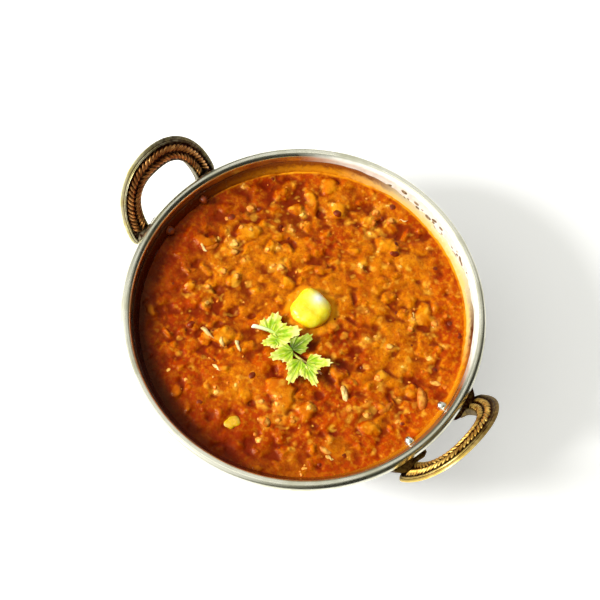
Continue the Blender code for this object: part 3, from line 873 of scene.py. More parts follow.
def cast_handle(name, node, half_turn, brass):
    points, wear_and_shade, behind, faces = make_casting()
    points = turned(points, half_turn)
    mesh = new_mesh(name, points, faces, brass)
    # the +Y side, away from the lamp, is painted darker as shade
    set_attribute(mesh, "wear_and_shade", [value * (1.0 - SHADE_ON_PLUS_Y * ease(point[1], -SHADE_ON_PLUS_Y_FROM, SHADE_ON_PLUS_Y_FROM))
                                 for point, value in zip(points, wear_and_shade)])
    set_attribute(mesh, "behind", behind)
    mesh.set_sharp_from_angle(angle=math.radians(50))
    return dress(new_piece(name, mesh), "brass", node)


cast_handle("handle_near_casting", "handle_near", False, near_brass)
cast_handle("handle_far_casting", "handle_far", True, far_brass)

# %% [markdown]
# The leaves stand at equal distances along the middle of each row. Their angle to the row is the
# same all the way, so both rows together make the herringbone of a plait. They point towards the
# foot on the +Y side.

# %% Set the leaves
LEAF_PITCH = 2.15 * MM
LEAF_ANGLE = math.radians(38)
LEAF_SHAPE = grain_shape(5.1, 1.75, 2.1, taper=0.25, segments=10)


def leaf_points(across):
    """(place, direction of travel, sideways, facing) at equal steps along a row of leaves."""
    line = []
    for angle in np.linspace(0.06, math.pi - 0.06, 600):
        corners = band_corners(angle)
        place, facing = front_point(corners, across)
        line.append((place + (front_relief(across) + 0.05 * MM) * facing, facing))
    steps = [0.0]
    for (here, _), (there, _) in zip(line, line[1:]):
        steps.append(steps[-1] + (there - here).length)
    spots = []
    for distance in np.arange(0.5 * LEAF_PITCH, steps[-1], LEAF_PITCH):
        index = min(int(np.searchsorted(steps, distance)), len(line) - 1)
        travel = (line[index][0] - line[index - 1][0]).normalized()
        spots.append((line[index][0], travel, travel.cross(line[index][1]), line[index][1]))
    return spots


def set_leaves(name, half_turn, finish):
    places, facings, headings = [], [], []
    for across, side in zip(LEAF_ROWS, (1.0, -1.0)):
        for place, travel, sideways, facing in leaf_points(across):
            places.append(place)
            facings.append(facing)
            headings.append(-math.cos(LEAF_ANGLE) * travel - side * math.sin(LEAF_ANGLE) * sideways)
    host = grain_host(name, turned(places, half_turn), turned(facings, half_turn),
                      turned(headings, half_turn), [1.0] * len(places))
    return dress(grow(name, grain_setter, host, {**LEAF_SHAPE, "Finish": finish}), "brass")


set_leaves("laurel_near", False, near_leaves)
set_leaves("laurel_far", True, far_leaves)

# %% [markdown]
# ## The dal
# Dal makhani is a thick stew: lentils cooked until they burst, in a gravy that coats and bridges
# them, so the surface is a landscape of soft lumps, hollows and skins. A sculpted plane could
# show it, but a height map worked out by rule is quicker to control: soft noise gives the swells,
# ovals stamped into the map give the lentils, and blurring is the coat of gravy.

# %% A height map of the dal
CELL = 0.28 * MM
MAP_REACH = DAL_RADIUS + 6 * CELL
map_axis = np.arange(-MAP_REACH, MAP_REACH + CELL, CELL)
map_x, map_y = np.meshgrid(map_axis, map_axis)
chance = np.random.default_rng(11)
print("height map:", map_x.shape, "cells")


def blurred(values, size):
    """A map blurred by a bell curve of this size, in metres."""
    waves = np.fft.fftfreq(len(map_axis), CELL)
    damping = np.exp(-2.0 * (math.pi * size * waves) ** 2)
    return np.fft.ifft2(np.fft.fft2(values) * damping[:, None] * damping[None, :]).real


def soft_noise(size):
    """Smooth random unevenness of this size, of unit height."""
    noise = blurred(chance.standard_normal(map_x.shape), size)
    return noise / noise.std()


def sample(values, x, y):
    """Read a map at a place, between its cells."""
    column, row = (np.clip((np.asarray(v) + MAP_REACH) / CELL, 0, len(map_axis) - 1.001) for v in (x, y))
    i, j = column.astype(int), row.astype(int)
    u, v = column - i, row - j
    return ((values[j, i] * (1 - u) + values[j, i + 1] * u) * (1 - v)
            + (values[j + 1, i] * (1 - u) + values[j + 1, i + 1] * u) * v)


def stamp(target, x, y, heading, length, width, height, level=0.0, paleness=None, pale_map=None):
    """Raise the map to half an oval grain lying at (x, y)."""
    reach = int(0.5 * length / CELL) + 2
    column, row = (int(round((value + MAP_REACH) / CELL)) for value in (x, y))
    rows = slice(max(row - reach, 0), row + reach + 1)
    columns = slice(max(column - reach, 0), column + reach + 1)
    east, north = map_x[rows, columns] - x, map_y[rows, columns] - y
    along = (east * math.cos(heading) + north * math.sin(heading)) / (0.5 * length)
    across = (north * math.cos(heading) - east * math.sin(heading)) / (0.5 * width)
    inside = 1.0 - along ** 2 - across ** 2
    grain = np.where(inside > 0.0, level + height * np.sqrt(np.maximum(inside, 0.0)), -1.0)
    if pale_map is not None:
        pale_map[rows, columns] = np.where(grain > target[rows, columns], paleness, pale_map[rows, columns])
    target[rows, columns] = np.maximum(target[rows, columns], grain)


# %% [markdown]
# The grains are spread by throwing points at random and keeping those that are far enough from
# the ones already there. Where the eye rests on a grain, it is listed: black lentils,
# clusters of split ones, beans and slivers of ginger, since they are what makes one helping
# differ from another. Their places are needed before the map, because gravy climbs round them.

# %% Throw points at random
def spread_points(count, spacing, reach=DAL_RADIUS, tries=40):
    """Random points in a disc, none nearer to another than the spacing."""
    cell = spacing / math.sqrt(2.0)
    taken, points = {}, []
    for _ in range(count * tries):
        if len(points) == count:
            break
        radius, angle = reach * math.sqrt(chance.random()), 2.0 * math.pi * chance.random()
        x, y = radius * math.cos(angle), radius * math.sin(angle)
        column, row = int(x // cell), int(y // cell)
        near = (taken.get((column + i, row + j)) for i in range(-2, 3) for j in range(-2, 3))
        if all(other is None or math.hypot(x - other[0], y - other[1]) >= spacing for other in near):
            taken[column, row] = (x, y)
            points.append((x, y))
    return points


def random_spots(count, spacing, scales, sunk):
    """(x, y, heading, scale, sunk, shade) for so many random grains."""
    return [(x, y, chance.uniform(0.0, math.pi), chance.uniform(*scales), chance.uniform(*sunk) * MM,
             chance.random()) for x, y in spread_points(count, spacing, 0.97 * DAL_RADIUS)]


# %% [markdown]
# The tables list what is placed one by one. Each pale lump is one burst lentil with two smaller
# skins beside it.

# %% Places of the loose grains
# x, y in mm
BLACK_LENTILS = ((-57, 41), (-57, 14), (-51, 26), (-38, 26), (-53, -28), (-47, -22), (-34, -36),
                 (-30, 43), (-23, 48), (-33, 59), (-7, 61), (-7, 68), (9, 51), (5, 37), (27, 58),
                 (49, 43), (56, 41), (-29, -43), (-15, -41), (2, -35), (-6, -59), (33, -51),
                 (50, -44), (55, -34), (58, 22), (64, -6), (57, 4), (34, 1))
# x, y and length in mm
PALE_LUMPS = ((-35, 37, 3.4), (-31, 33, 2.8), (-54, 23, 4.2), (-58, 12, 2.6), (-50, 13, 2.6),
              (-46, 15, 2.6), (-47, 5, 4.8), (-44, 2, 3.6), (-54, 2, 2.4), (-38, 2, 3.2), (-31, 17, 3.2),
              (-34, 13, 2.4), (-24, 11, 4.4), (-27, 8, 3.0), (-33, 28, 3.2), (-41, -8, 3.4), (-35, -6, 3.2),
              (-48, -24, 2.6), (-41, -18, 3.2), (-36, -24, 3.0), (-19, -32, 3.0), (-64, 29, 3.8),
              (-48, 45, 2.4), (2, 36, 3.6), (-3, 62, 3.6), (-11, 61, 3.6), (-8, 56, 2.8), (-6, 51, 3.2),
              (-9, 67, 2.2), (-16, 66, 2.2), (-27, 50, 3.0), (15, 48, 2.2), (32, 48, 2.2), (44, 38, 3.8),
              (36, 33, 3.0), (38, 29, 2.8), (27, 12, 3.4), (29, 16, 2.4), (37, 16, 3.6), (47, 13, 3.2),
              (43, 2, 4.0), (46, -1, 2.8), (53, 24, 3.4), (54, 33, 3.2), (18, 22, 2.8), (14, 31, 2.2),
              (7, 19, 2.2), (3, 47, 2.2), (18, 64, 2.2), (-16, 48, 2.2), (0, -43, 2.4), (-4, -51, 3.4),
              (13, -41, 3.2), (19, -37, 3.0), (16, -35, 2.4), (24, -42, 3.4), (21, -46, 4.0),
              (29, -38, 2.6), (24, -54, 3.6), (47, -50, 3.2), (13, -63, 2.2), (-18, -61, 2.2),
              (-7, -61, 2.2), (-17, -56, 2.4), (-26, -58, 2.4), (47, -34, 2.4), (43, -17, 3.0),
              (46, -21, 2.6), (50, -14, 3.4), (62, -7, 2.8), (61, -1, 2.4), (56, 1, 2.2), (30, -29, 3.0))
# x, y in mm, heading in degrees, scale, sunk in mm, shade
BEANS = ((62.8, 8.0, 136, 1.0, 0.5, 0.5), (62.6, 17.4, 30, 0.55, 0.3, 0.0), (54.5, -6, 80, 0.75, 0.9, 0.9),
         (-53, -3, 60, 0.7, 1.0, 1.0), (48, -38, 10, 0.6, 0.6, 0.2))
SLIVERS = ((-26, -34, -9, 1.05, 0.2, 0.1), (-12.5, -29, -28, 0.9, 0.2, 0.0),
           (-55, -6, -15, 0.8, 0.2, 0.2), (-11.7, -43, 0, 0.6, 0.2, 0.2),
           (1.2, 66.4, 44, 0.55, 0.2, 0.0), (37.5, -14, -35, 1.15, 0.3, 0.3),
           (-18, -33, -30, 0.6, 0.2, 0.4), (44, 37, -40, 0.6, 0.2, 0.2), (52, -39, 10, 0.7, 0.3, 0.8),
           (35, 34, -45, 0.6, 0.3, 0.4))
black_spots = [(x * MM, y * MM, chance.uniform(0.0, math.pi), chance.uniform(0.75, 1.1),
                chance.uniform(0.8, 1.25) * MM, chance.random()) for x, y in BLACK_LENTILS]
black_spots += random_spots(10, 9.0 * MM, (0.5, 0.8), (0.7, 1.0))
SPLIT_LENGTH = 3.4                       # in mm
PAINTED_SHADE_SIDE = 232.0                     # the middle of the painted shade along the edge, in degrees


def in_painted_shade_edge(x, y):
    """Where the edge along the wall on the -X side is painted in shade."""
    off_middle = abs(math.degrees(math.atan2(y, x)) % 360.0 - PAINTED_SHADE_SIDE)
    return math.hypot(x, y) > 52 * MM and off_middle < 72.0


# no random split lentils in the painted shade along the wall, so it stays dark
split_spots = [(*spot[:5], 0.5 + 0.5 * spot[5])
               for spot in random_spots(110, 4.0 * MM, (0.3, 0.6), (0.15, 0.4))
               if not in_painted_shade_edge(spot[0], spot[1])]
for x, y, length in PALE_LUMPS:
    for share, away in ((1.0, 0.0), (chance.uniform(0.4, 0.7), 0.75), (chance.uniform(0.3, 0.6), 0.9)):
        turn = chance.uniform(0.0, 2.0 * math.pi)
        split_spots.append(((x + away * length * math.cos(turn)) * MM,
                            (y + away * length * math.sin(turn)) * MM,
                            chance.uniform(0.0, math.pi), 1.1 * share * length / SPLIT_LENGTH,
                            chance.uniform(0.4, 0.75) * MM, chance.uniform(0.0, 0.7) + 0.4 * away))
bean_spots, sliver_spots = ([(x * MM, y * MM, math.radians(heading), scale, sunk * MM, shade)
                             for x, y, heading, scale, sunk, shade in table] for table in (BEANS, SLIVERS))
print("grains:", len(black_spots), len(split_spots), len(bean_spots), len(sliver_spots))

# %% [markdown]
# The landscape has three sizes of lump: soft mounds of gravy, the coated lentils on them, and
# fine grit. Gravy then fills the low ground to an uneven level, and a few hollows are pressed in.

# %% Lumps and hollows listed
# big soft lumps: x, y, heading in degrees, length, width, height, all in mm
BIG_LUMPS = ((15, -31, 20, 13, 10, 2.0), (20, -33, 60, 9, 8, 1.8), (30, -31, 0, 9, 7, 1.7),
             (-34, 56, 40, 9, 7, 1.2), (-24, 50, 100, 10, 7, 1.4), (28, -8, 150, 9, 6, 1.2),
             (-46, 14, 60, 12, 8, 1.4), (-58, -4, 20, 10, 7, 1.2), (38, 38, 120, 10, 7, 1.1),
             (55, -18, 30, 9, 7, 1.3), (-20, -30, 70, 11, 8, 1.3), (4, 52, 10, 12, 8, 1.1))
# hollows: x, y, radius, depth in mm
HOLLOWS = ((-53, -14, 3.0, 1.0), (-37, -17, 3.0, 1.4), (-24, -19, 2.8, 1.2), (-27, 23, 3.6, 0.9),
           (-51, 25, 2.8, 1.2), (-37, 26, 3.0, 1.2), (-29, 43, 3.2, 1.2), (-6, 60, 3.0, 1.4),
           (-33, 59, 2.4, 0.9), (5, 37, 2.2, 1.2), (11, 22, 3.6, 0.9), (16, 14, 3.0, 0.9),
           (27, 26, 2.6, 0.9), (27, -5, 4.4, 1.6), (35, 0, 2.6, 1.1), (29, -22, 3.4, 1.5),
           (16, -20, 4.2, 1.2), (37, -33, 2.8, 1.0), (46, -30, 2.8, 1.0), (52, -11, 2.8, 1.1),
           (50, -44, 2.6, 0.9), (49, 43, 2.8, 1.2), (57, 41, 2.8, 1.0), (58, 22, 2.6, 1.0),
           (-16, -52, 2.6, 0.9), (2, -62, 2.8, 0.9), (-25, -28, 2.4, 1.0), (-17, -14, 2.6, 1.2),
           (8, -26, 3.2, 1.0), (11, -44, 2.4, 0.9), (26, 48, 2.6, 0.8), (39, 53, 2.6, 0.8))
# where fat has risen and the gravy is yellow: x, y, reach in mm
WARM_SPOTS = ((-46, 5, 15), (-36, -16, 15), (-16, -30, 12), (2, -40, 9), (-32, 24, 12),
              (26, 36, 13), (40, 18, 14), (4, 42, 11), (-30, 50, 13), (58, -14, 6), (22, -30, 7),
              (0, 20, 13), (-18, 6, 10), (52, -34, 5), (44, 0, 8), (-6, 56, 10), (-40, 8, 14),
              (16, 54, 9), (42, -54, 8))
COAT_SOFTNESS = 0.12       # how softly gravy climbs round what stands in it, in mm
print("listed:", len(BIG_LUMPS), "lumps,", len(HOLLOWS), "hollows,", len(WARM_SPOTS), "warm spots")

# %% [markdown]
# Each layer is stamped and then blurred by its coat: mounds most, grit least. Gravy fills the
# layers softly up to its level. Last, the map is bent a little by noise, so that no oval stays
# a true oval.

# %% Build the relief
def mm_from(x, y):
    """Distance of every cell of the map from a place, in mm."""
    return np.hypot(map_x / MM - x, map_y / MM - y)


def stamp_at_random(target, count, spacing, lengths, widths, heights, levels=None, fading=None):
    """So many random ovals; widths are shares of the length, fading says how rare pale ones are."""
    for x, y in spread_points(count, spacing * MM):
        length = chance.uniform(*lengths) * MM
        stamp(target, x, y, chance.uniform(0.0, math.pi), length, length * chance.uniform(*widths),
              chance.uniform(*heights), chance.uniform(*levels) if levels else 0.0,
              *((chance.random() ** fading, pale) if fading else ()))


mounds, pale = np.full(map_x.shape, -1.0), np.zeros(map_x.shape)
for x, y, heading, length, width, height in BIG_LUMPS:
    stamp(mounds, x * MM, y * MM, math.radians(heading), length * MM, width * MM, height, -0.5)
stamp_at_random(mounds, 230, 5.6, (4.0, 9.0), (0.5, 0.85), (0.3, 1.1), (-1.2, -0.6))
lumps, crumbs = np.zeros(map_x.shape), np.zeros(map_x.shape)
stamp_at_random(lumps, 1400, 2.6, (2.4, 4.6), (0.6, 0.9), (0.3, 0.9), (-0.5, 0.0), fading=3)
for spots, length, width, height in ((black_spots, 4.6, 3.8, 0.7), (split_spots, 3.6, 2.8, 0.6),
                                     (bean_spots, 11.5, 5.4, 0.9), (sliver_spots, 8.6, 3.0, 0.6)):
    for x, y, heading, scale, _, _ in spots:
        stamp(lumps, x, y, heading, scale * length * MM, scale * width * MM, scale * height)
stamp_at_random(crumbs, 2600, 1.7, (0.9, 1.8), (0.6, 1.0), (0.1, 0.45), fading=2)
for x, y, length in PALE_LUMPS:
    stamp(pale, x * MM, y * MM, 0.7 * x, 2.6 * length * MM, 1.9 * length * MM, 0.42)
for x, y, heading, scale, _, shade in split_spots + bean_spots:
    stamp(pale, x, y, heading, scale * 4.4 * MM, scale * 3.4 * MM, 1.1 - 0.5 * shade)
landscape = (1.25 * blurred(mounds, 0.65 * MM) + 1.1 * blurred(lumps, 0.42 * MM)
             + 0.8 * blurred(crumbs, 0.24 * MM))
gravy_level = -0.65 + 0.25 * soft_noise(2.0 * MM)
coated = COAT_SOFTNESS * np.logaddexp(landscape / COAT_SOFTNESS, gravy_level / COAT_SOFTNESS)
hollows = sum(depth * np.exp(-2.0 * (mm_from(x, y) / radius) ** 2) for x, y, radius, depth in HOLLOWS)
swells = 0.36 * soft_noise(8.0 * MM)
grit = 0.10 * soft_noise(0.9 * MM) + 0.035 * soft_noise(0.42 * MM)
relief = 1.05 * coated + 0.10 + swells + grit - hollows
calm = 1.0 - np.clip((np.hypot(map_x, map_y) / DAL_RADIUS - 0.90) / 0.10, 0.0, 1.0) ** 2
relief = np.where(relief > 0.0, 1.5 * np.tanh(relief / 1.5), relief) * (0.25 + 0.75 * calm)
hollow_map = blurred(relief, 3.0 * MM) - relief - 0.3 * blurred(relief, 6.0 * MM)
pale_map = blurred(pale, 0.38 * MM)
bend_x, bend_y = 0.36 * MM * soft_noise(1.5 * MM), 0.36 * MM * soft_noise(1.5 * MM)
relief, hollow_map, pale_map = (sample(values, map_x + bend_x, map_y + bend_y)
                                for values in (relief, hollow_map, pale_map))

# %% [markdown]
# Toppings press the relief flat where they lie. Maps of the same size then say where the gravy
# changes colour: a clear ring of fat round the butter and along the far wall, warm patches where
# fat has risen, and painted shade on the near side, where the wall's shadow falls, darkest
# against the wall.

# %% Toppings and colour maps
def middle_of(node):
    """x and y of the middle of a node's box, in mm."""
    low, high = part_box(node)
    return 0.5 * (low.x + high.x) / MM, 0.5 * (low.y + high.y) / MM


def side_of(azimuth, width, strength):
    """1 round one direction, falling to 0 on both sides of it."""
    return np.clip(strength - np.abs(map_angle - azimuth) / width, 0.0, 1.0)


def near_wall(inwards, width):
    """0 farther in than a distance from the wall, 1 a width nearer to it; both in mm."""
    return np.clip((map_radius - DAL_RADIUS / MM + inwards) / width, 0.0, 1.0)


map_angle, map_radius = np.degrees(np.arctan2(map_y, map_x)) % 360.0, mm_from(0.0, 0.0)
from_butter, from_crumb = mm_from(*middle_of("butter")), mm_from(*middle_of("butter_bit"))
pool = 1.0 / (1.0 + np.exp((from_butter - 10.5) / 0.5))
relief = relief * (1.0 - pool) + pool * (0.25 + 0.3 * relief)
sprig_low, sprig_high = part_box("coriander")
under_sprig = np.where((map_x > sprig_low.x) & (map_x < sprig_high.x) & (map_y > sprig_low.y)
                       & (map_y < sprig_high.y), 1.0, 0.0)
relief = relief - blurred(under_sprig, 1.5 * MM) * np.maximum(relief - 0.35, 0.0)
oil_map = side_of(95.0, 62.0, 1.6) * near_wall(1.8, 1.0)
oil_map = np.maximum(oil_map, 0.95 * np.exp(-np.maximum(from_butter - 9.4, 0.0) ** 2 / 9.0))
oil_map = np.maximum(oil_map, 0.45 * np.exp(-np.maximum(from_crumb - 2.6, 0.0) ** 2 / 2.0))
oil_map = oil_map * (0.75 + 0.25 * np.clip(soft_noise(1.4 * MM), -1.0, 1.0))
warm_map = sum(np.exp(-(mm_from(x, y) / reach) ** 2) for x, y, reach in WARM_SPOTS)
warm_map = np.clip(warm_map + 0.22 * soft_noise(3.0 * MM) + 0.10 * soft_noise(1.2 * MM), 0.0, 1.0)
inwards = np.clip((map_radius - 46.0 + 3.0 * soft_noise(6.0 * MM)) / 22.0, 0.0, 1.0)
# painted shade on the near side, where the wall's shadow falls; pale marks are mostly taken out of it
painted_shade_map = side_of(238.0, 64.0, 1.75) * inwards
pale_map = pale_map * (1.0 - 0.9 * np.clip(2.0 * painted_shade_map - 0.5, 0.0, 1.0))
# painted shadow of the wall, darkest against it
painted_shade_map += 0.6 * side_of(238.0, 38.0, 1.45) * near_wall(7.5, 6.0)
print("relief: %.2f to %.2f mm, mean %.2f" % (relief.min(), relief.max(), relief.mean()))


def dal_surface(x, y):
    return DAL_LEVEL + sample(relief, x, y) * MM


print("dal at the middle: %.1f mm high" % (float(dal_surface(0.0, 0.0)) / MM))


# %% [markdown]
# The mesh is one grid of squares pulled out to a disc, so that its cells are nearly equal all
# over and no pole shows. Its edge turns down along the karahi's wall to the bottom, as the plain
# solid does. The maps are carried over as attributes for the finish to read.

# %% The dal's mesh
DAL_CELLS = 292
DAL_BOTTOM = SHEET + GAP
BOTTOM_RADIUS = BASE_RADIUS + 0.2 * (CORNER_RADIUS - SHEET) * math.sin(WALL_ANGLE)


def disc_grid(cells):
    """x and y of a square grid pulled out to a disc of radius one."""
    axis = np.linspace(-1.0, 1.0, cells + 1)
    u, v = np.meshgrid(axis, axis)
    return u * np.sqrt(1.0 - 0.5 * v * v), v * np.sqrt(1.0 - 0.5 * u * u)


def rim_order(cells):
    """Numbers of the grid's outermost points, once round."""
    width = cells + 1
    bottom, right = range(cells), range(cells, cells * width, width)
    top, left = range(cells * width + cells, cells * width, -1), range(cells * width, 0, -width)
    return [*bottom, *right[:cells], *top, *left]


def make_dal_mesh(material):
    x, y = (values.ravel() * DAL_RADIUS for values in disc_grid(DAL_CELLS))
    points = np.stack([x, y, dal_surface(x, y)], axis=1)
    maps = {"hollow": hollow_map, "pale": pale_map, "oil": oil_map, "painted_shade": painted_shade_map, "warm": warm_map}
    faces = grid_faces(DAL_CELLS + 1, DAL_CELLS + 1)
    rim = rim_order(DAL_CELLS)
    rings = [rim]
    for share in (0.12, 0.4, 0.7, 0.88, 1.0):
        height = DAL_LEVEL + (DAL_BOTTOM - DAL_LEVEL) * share
        radius = BOTTOM_RADIUS if share == 1.0 else inside_radius(height)
        shrink = radius / DAL_RADIUS
        ring = np.column_stack([points[rim, 0] * shrink, points[rim, 1] * shrink, np.full(len(rim), height)])
        rings.append(list(range(len(points), len(points) + len(rim))))
        points = np.concatenate([points, ring])
    for upper, lower in zip(rings, rings[1:]):
        faces += [(upper[i], upper[i - 1], lower[i - 1], lower[i]) for i in range(len(rim))]
    faces.append(tuple(rings[-1]))
    mesh = new_mesh("dal_in_gravy", points, faces, material)
    for name, values in maps.items():
        shown = sample(values, x, y)
        set_attribute(mesh, name, np.concatenate([shown, np.zeros(len(points) - len(shown))]))
    return mesh


def inside_radius(height):
    """Radius inside the karahi at a height, a gap away from its steel."""
    reach = CORNER_RADIUS - SHEET - GAP
    down = CORNER_RADIUS - height
    if down > reach * math.cos(WALL_ANGLE):
        return BASE_RADIUS + math.sqrt(max(reach ** 2 - down ** 2, 0.0))
    return wall_radius(height, -GAP)


# %% [markdown]
# Gravy is a glossy, slightly translucent coat. Raised skins are painted lighter and more orange,
# as painted light, and hollows deep red-brown, as painted shade. Burst lentils show pale through
# the coat, along the wall and round the butter the fat runs clear and yellow, and the near edge is
# painted dark as the wall's shadow. Each of these is a mask that moves the colour.

# %% Gravy finish
def make_gravy():
    material, tree, shader = new_finish("dal_gravy", {
        "Specular IOR Level": 0.12, "Specular Tint": paint("ffd8a8")})
    warm = read_attribute(tree, "warm")
    clouds = use_group(tree, mottling, size=9.0, low=0.40, high=0.64)
    flecks = use_group(tree, mottling, size=2.2, low=0.42, high=0.72)
    specks = use_group(tree, mottling, size=1.0, low=0.47, high=0.70)
    skin = mix_colours(tree, warm, "b03e00", "cc7004")
    skin = mix_colours(tree, spread(tree, clouds, 0.0, 0.50), skin, "9a2c00")
    skin = mix_colours(tree, spread(tree, flecks, 0.0, 0.55), skin, "e08c0a")
    skin = mix_colours(tree, spread(tree, specks, 0.0, 0.46), skin, "942800")
    # painted shade along the near edge
    edge = read_attribute(tree, "painted_shade")
    skin = mix_colours(tree, product(tree, maths(tree, "MINIMUM", edge, 1.0), 0.76), skin, "781a00")
    hollow = read_attribute(tree, "hollow")
    # painted light: raised skins lighter and more orange
    painted_light_crest = ramp(tree, hollow, -0.15, -0.9, high=0.7, smooth=True)
    skin = mix_colours(tree, painted_light_crest, skin, mix_colours(tree, warm, "d06c06", "e8960e"))
    # painted shade: hollows darker red-brown
    depth = ramp(tree, hollow, 0.0, 0.62, high=0.9, smooth=True)
    skin = mix_colours(tree, depth, skin, "6c1400")
    pale = ramp(tree, read_attribute(tree, "pale"), 0.3, 0.95)
    skin = mix_colours(tree, product(tree, pale, spread(tree, flecks, 0.45, 0.9)), skin, "f4b434")
    skin = mix_colours(tree, ramp(tree, read_attribute(tree, "oil"), 0.2, 0.9, high=0.9), skin, "ee9c10")
    # painted shadow against the near wall
    skin = mix_colours(tree, ramp(tree, edge, 1.0, 1.55, high=0.85), skin, "300600")
    rough = maths(tree, "MULTIPLY_ADD", depth, 0.25, spread(tree, flecks, 0.13, 0.25))
    link_inputs(tree, shader, base_color=skin, roughness=rough)
    add_bump(tree, shader, use_group(tree, fine_grain, size=0.6, depth=0.17))
    return material


gravy = make_gravy()
dress(new_piece("dal_in_gravy", make_dal_mesh(gravy)), "gravy", "dal")

# %% [markdown]
# ## Loose grains in the dal
# On top of the stamped relief lie whole grains that show as pieces of their own: black lentils,
# pale split ones, a few beans and slivers of ginger. They repeat by the hundred, so each kind is
# one shape set on points by the grain tree, with length, width and bend as its inputs. Each grain
# is sunk to a different depth, which is what stops a helping from looking strewn.

# %% Grain finishes
def make_grain_finish(name, light, dark, coat, coat_share, roughness):
    """A grain's own two shades, and a coat of gravy that pools round its foot."""
    material, tree, shader = new_finish(name, {"Specular IOR Level": 0.26, "Specular Tint": paint("ffe4c0")})
    shade = read_attribute(tree, "shade")
    own = mix_colours(tree, shade, light, dark)
    uneven = use_group(tree, mottling, size=1.4, low=0.38, high=0.66)
    raised = read_attribute(tree, "raised")
    level = maths(tree, "SUBTRACT", maths(tree, "SUBTRACT", raised, spread(tree, uneven, -0.08, 0.08)),
                  product(tree, shade, 0.12))
    coated = ramp(tree, level, 1.05, 0.74, high=coat_share)
    link_inputs(tree, shader, base_color=mix_colours(tree, coated, own, coat),
                roughness=spread(tree, uneven, roughness, roughness + 0.15))
    add_bump(tree, shader, use_group(tree, fine_grain, size=0.5, depth=0.05))
    return material


lentil_finish = make_grain_finish("black_lentil_skin", "6c2408", "4c1806", "8a2800", 0.9, 0.34)
split_finish = make_grain_finish("split_lentil", "f8d468", "e08c18", "c85c06", 0.95, 0.30)
bean_finish = make_grain_finish("bean_skin", "ecb450", "d07c18", "b05008", 0.85, 0.30)
sliver_finish = make_grain_finish("ginger", "f0e4a4", "e0c468", "d08820", 0.75, 0.36)


print("grain finishes:", lentil_finish.name, split_finish.name, bean_finish.name, sliver_finish.name)

# %% [markdown]
# Each grain leans a little as the gravy under it slopes, and lies as deep as its row says. One
# piece holds all grains of a kind.

# %% Set the loose grains
def set_grains(name, spots, finish, sizes):
    """spots are (x, y, heading, scale, sunk, shade), sizes the inputs of the grain tree."""
    places, facings, headings = [], [], []
    for x, y, heading, scale, sunk, _ in spots:
        step = 0.6 * MM
        slope_x = float(dal_surface(x + step, y) - dal_surface(x - step, y)) / (2.0 * step)
        slope_y = float(dal_surface(x, y + step) - dal_surface(x, y - step)) / (2.0 * step)
        places.append((x, y, float(dal_surface(x, y)) - sunk))
        facings.append(Vector((-0.6 * slope_x, -0.6 * slope_y, 1.0)).normalized())
        headings.append((math.cos(heading), math.sin(heading), 0.0))
    host = grain_host(name, places, facings, headings, [spot[3] for spot in spots])
    set_attribute(host, "shade", [spot[5] for spot in spots])
    return dress(grow(name, grain_setter, host, {**sizes, "Finish": finish}), "gravy")


set_grains("black_lentils", black_spots, lentil_finish,
           grain_shape(4.3, 3.4, 2.6, crumple=0.6, segments=20, rings=12))
set_grains("split_lentils", split_spots, split_finish,
           grain_shape(SPLIT_LENGTH, 2.8, 1.6, crumple=1.3, bend=0.15, taper=0.15, segments=14, rings=9))
set_grains("beans", bean_spots, bean_finish,
           grain_shape(10.5, 4.3, 3.4, crumple=0.8, bend=0.35, segments=28, rings=16))
set_grains("slivers", sliver_spots, sliver_finish,
           grain_shape(8.0, 2.2, 1.4, crumple=1.6, bend=0.2, taper=0.3, segments=20, rings=10))

# %% [markdown]
# ## The film on the wall
# Where the dish has been stirred and tilted, gravy has run down the wall and left a film: thick
# and oily at the bottom, thin and creamy at its upper edge, which is ragged where it has dried.
# It is a closed thin skin worked out over the angle round the wall and the share of its height,
# because its upper edge follows a list and not a pattern.

# %% The film's upper edge
FILM_STEPS, FILM_ROWS = 720, 14
FILM_FOOT = DAL_LEVEL - 1.0 * MM
FILM_OFF_WALL = 0.04 * MM
# angle round the wall in degrees, the film's upper edge below the bead's middle in mm, raggedness,
# how creamy it has dried above 0.5 and how dark it is painted as shade below that, and how far its
# upper part is painted dark brown as shade
FILM_EDGE = ((0, 3.6, 0.3, 0.38, 0.2), (25, 2.6, 0.3, 0.5, 0.9), (38, 1.9, 0.3, 0.95, 1.0),
             (50, 2.2, 0.5, 1.0, 0.35), (62, 3.4, 0.8, 1.0, 0.0), (80, 4.1, 0.9, 1.0, 0.0),
             (97, 3.4, 0.7, 0.95, 0.3), (108, 2.4, 0.3, 0.75, 0.9), (120, 1.9, 0.1, 0.5, 1.0),
             (135, 2.1, 0.1, 0.45, 1.0), (150, 2.5, 0.2, 0.25, 1.0), (175, 2.6, 0.2, 0.0, 1.0),
             (200, 2.5, 0.2, -0.3, 1.0), (235, 2.5, 0.2, -0.5, 1.0), (262, 2.5, 0.2, -0.3, 1.0),
             (280, 2.5, 0.2, 0.0, 1.0), (307, 2.7, 0.2, 0.0, 1.0), (335, 3.4, 0.2, 0.26, 0.4),
             (360, 3.6, 0.3, 0.38, 0.2))


def ring_noise(size):
    """Smooth random values of unit height round the wall, with features this many steps long."""
    damping = np.exp(-2.0 * (math.pi * size * np.fft.fftfreq(FILM_STEPS)) ** 2)
    values = np.fft.ifft(np.fft.fft(chance.standard_normal(FILM_STEPS)) * damping)
    return values.real / values.real.std()


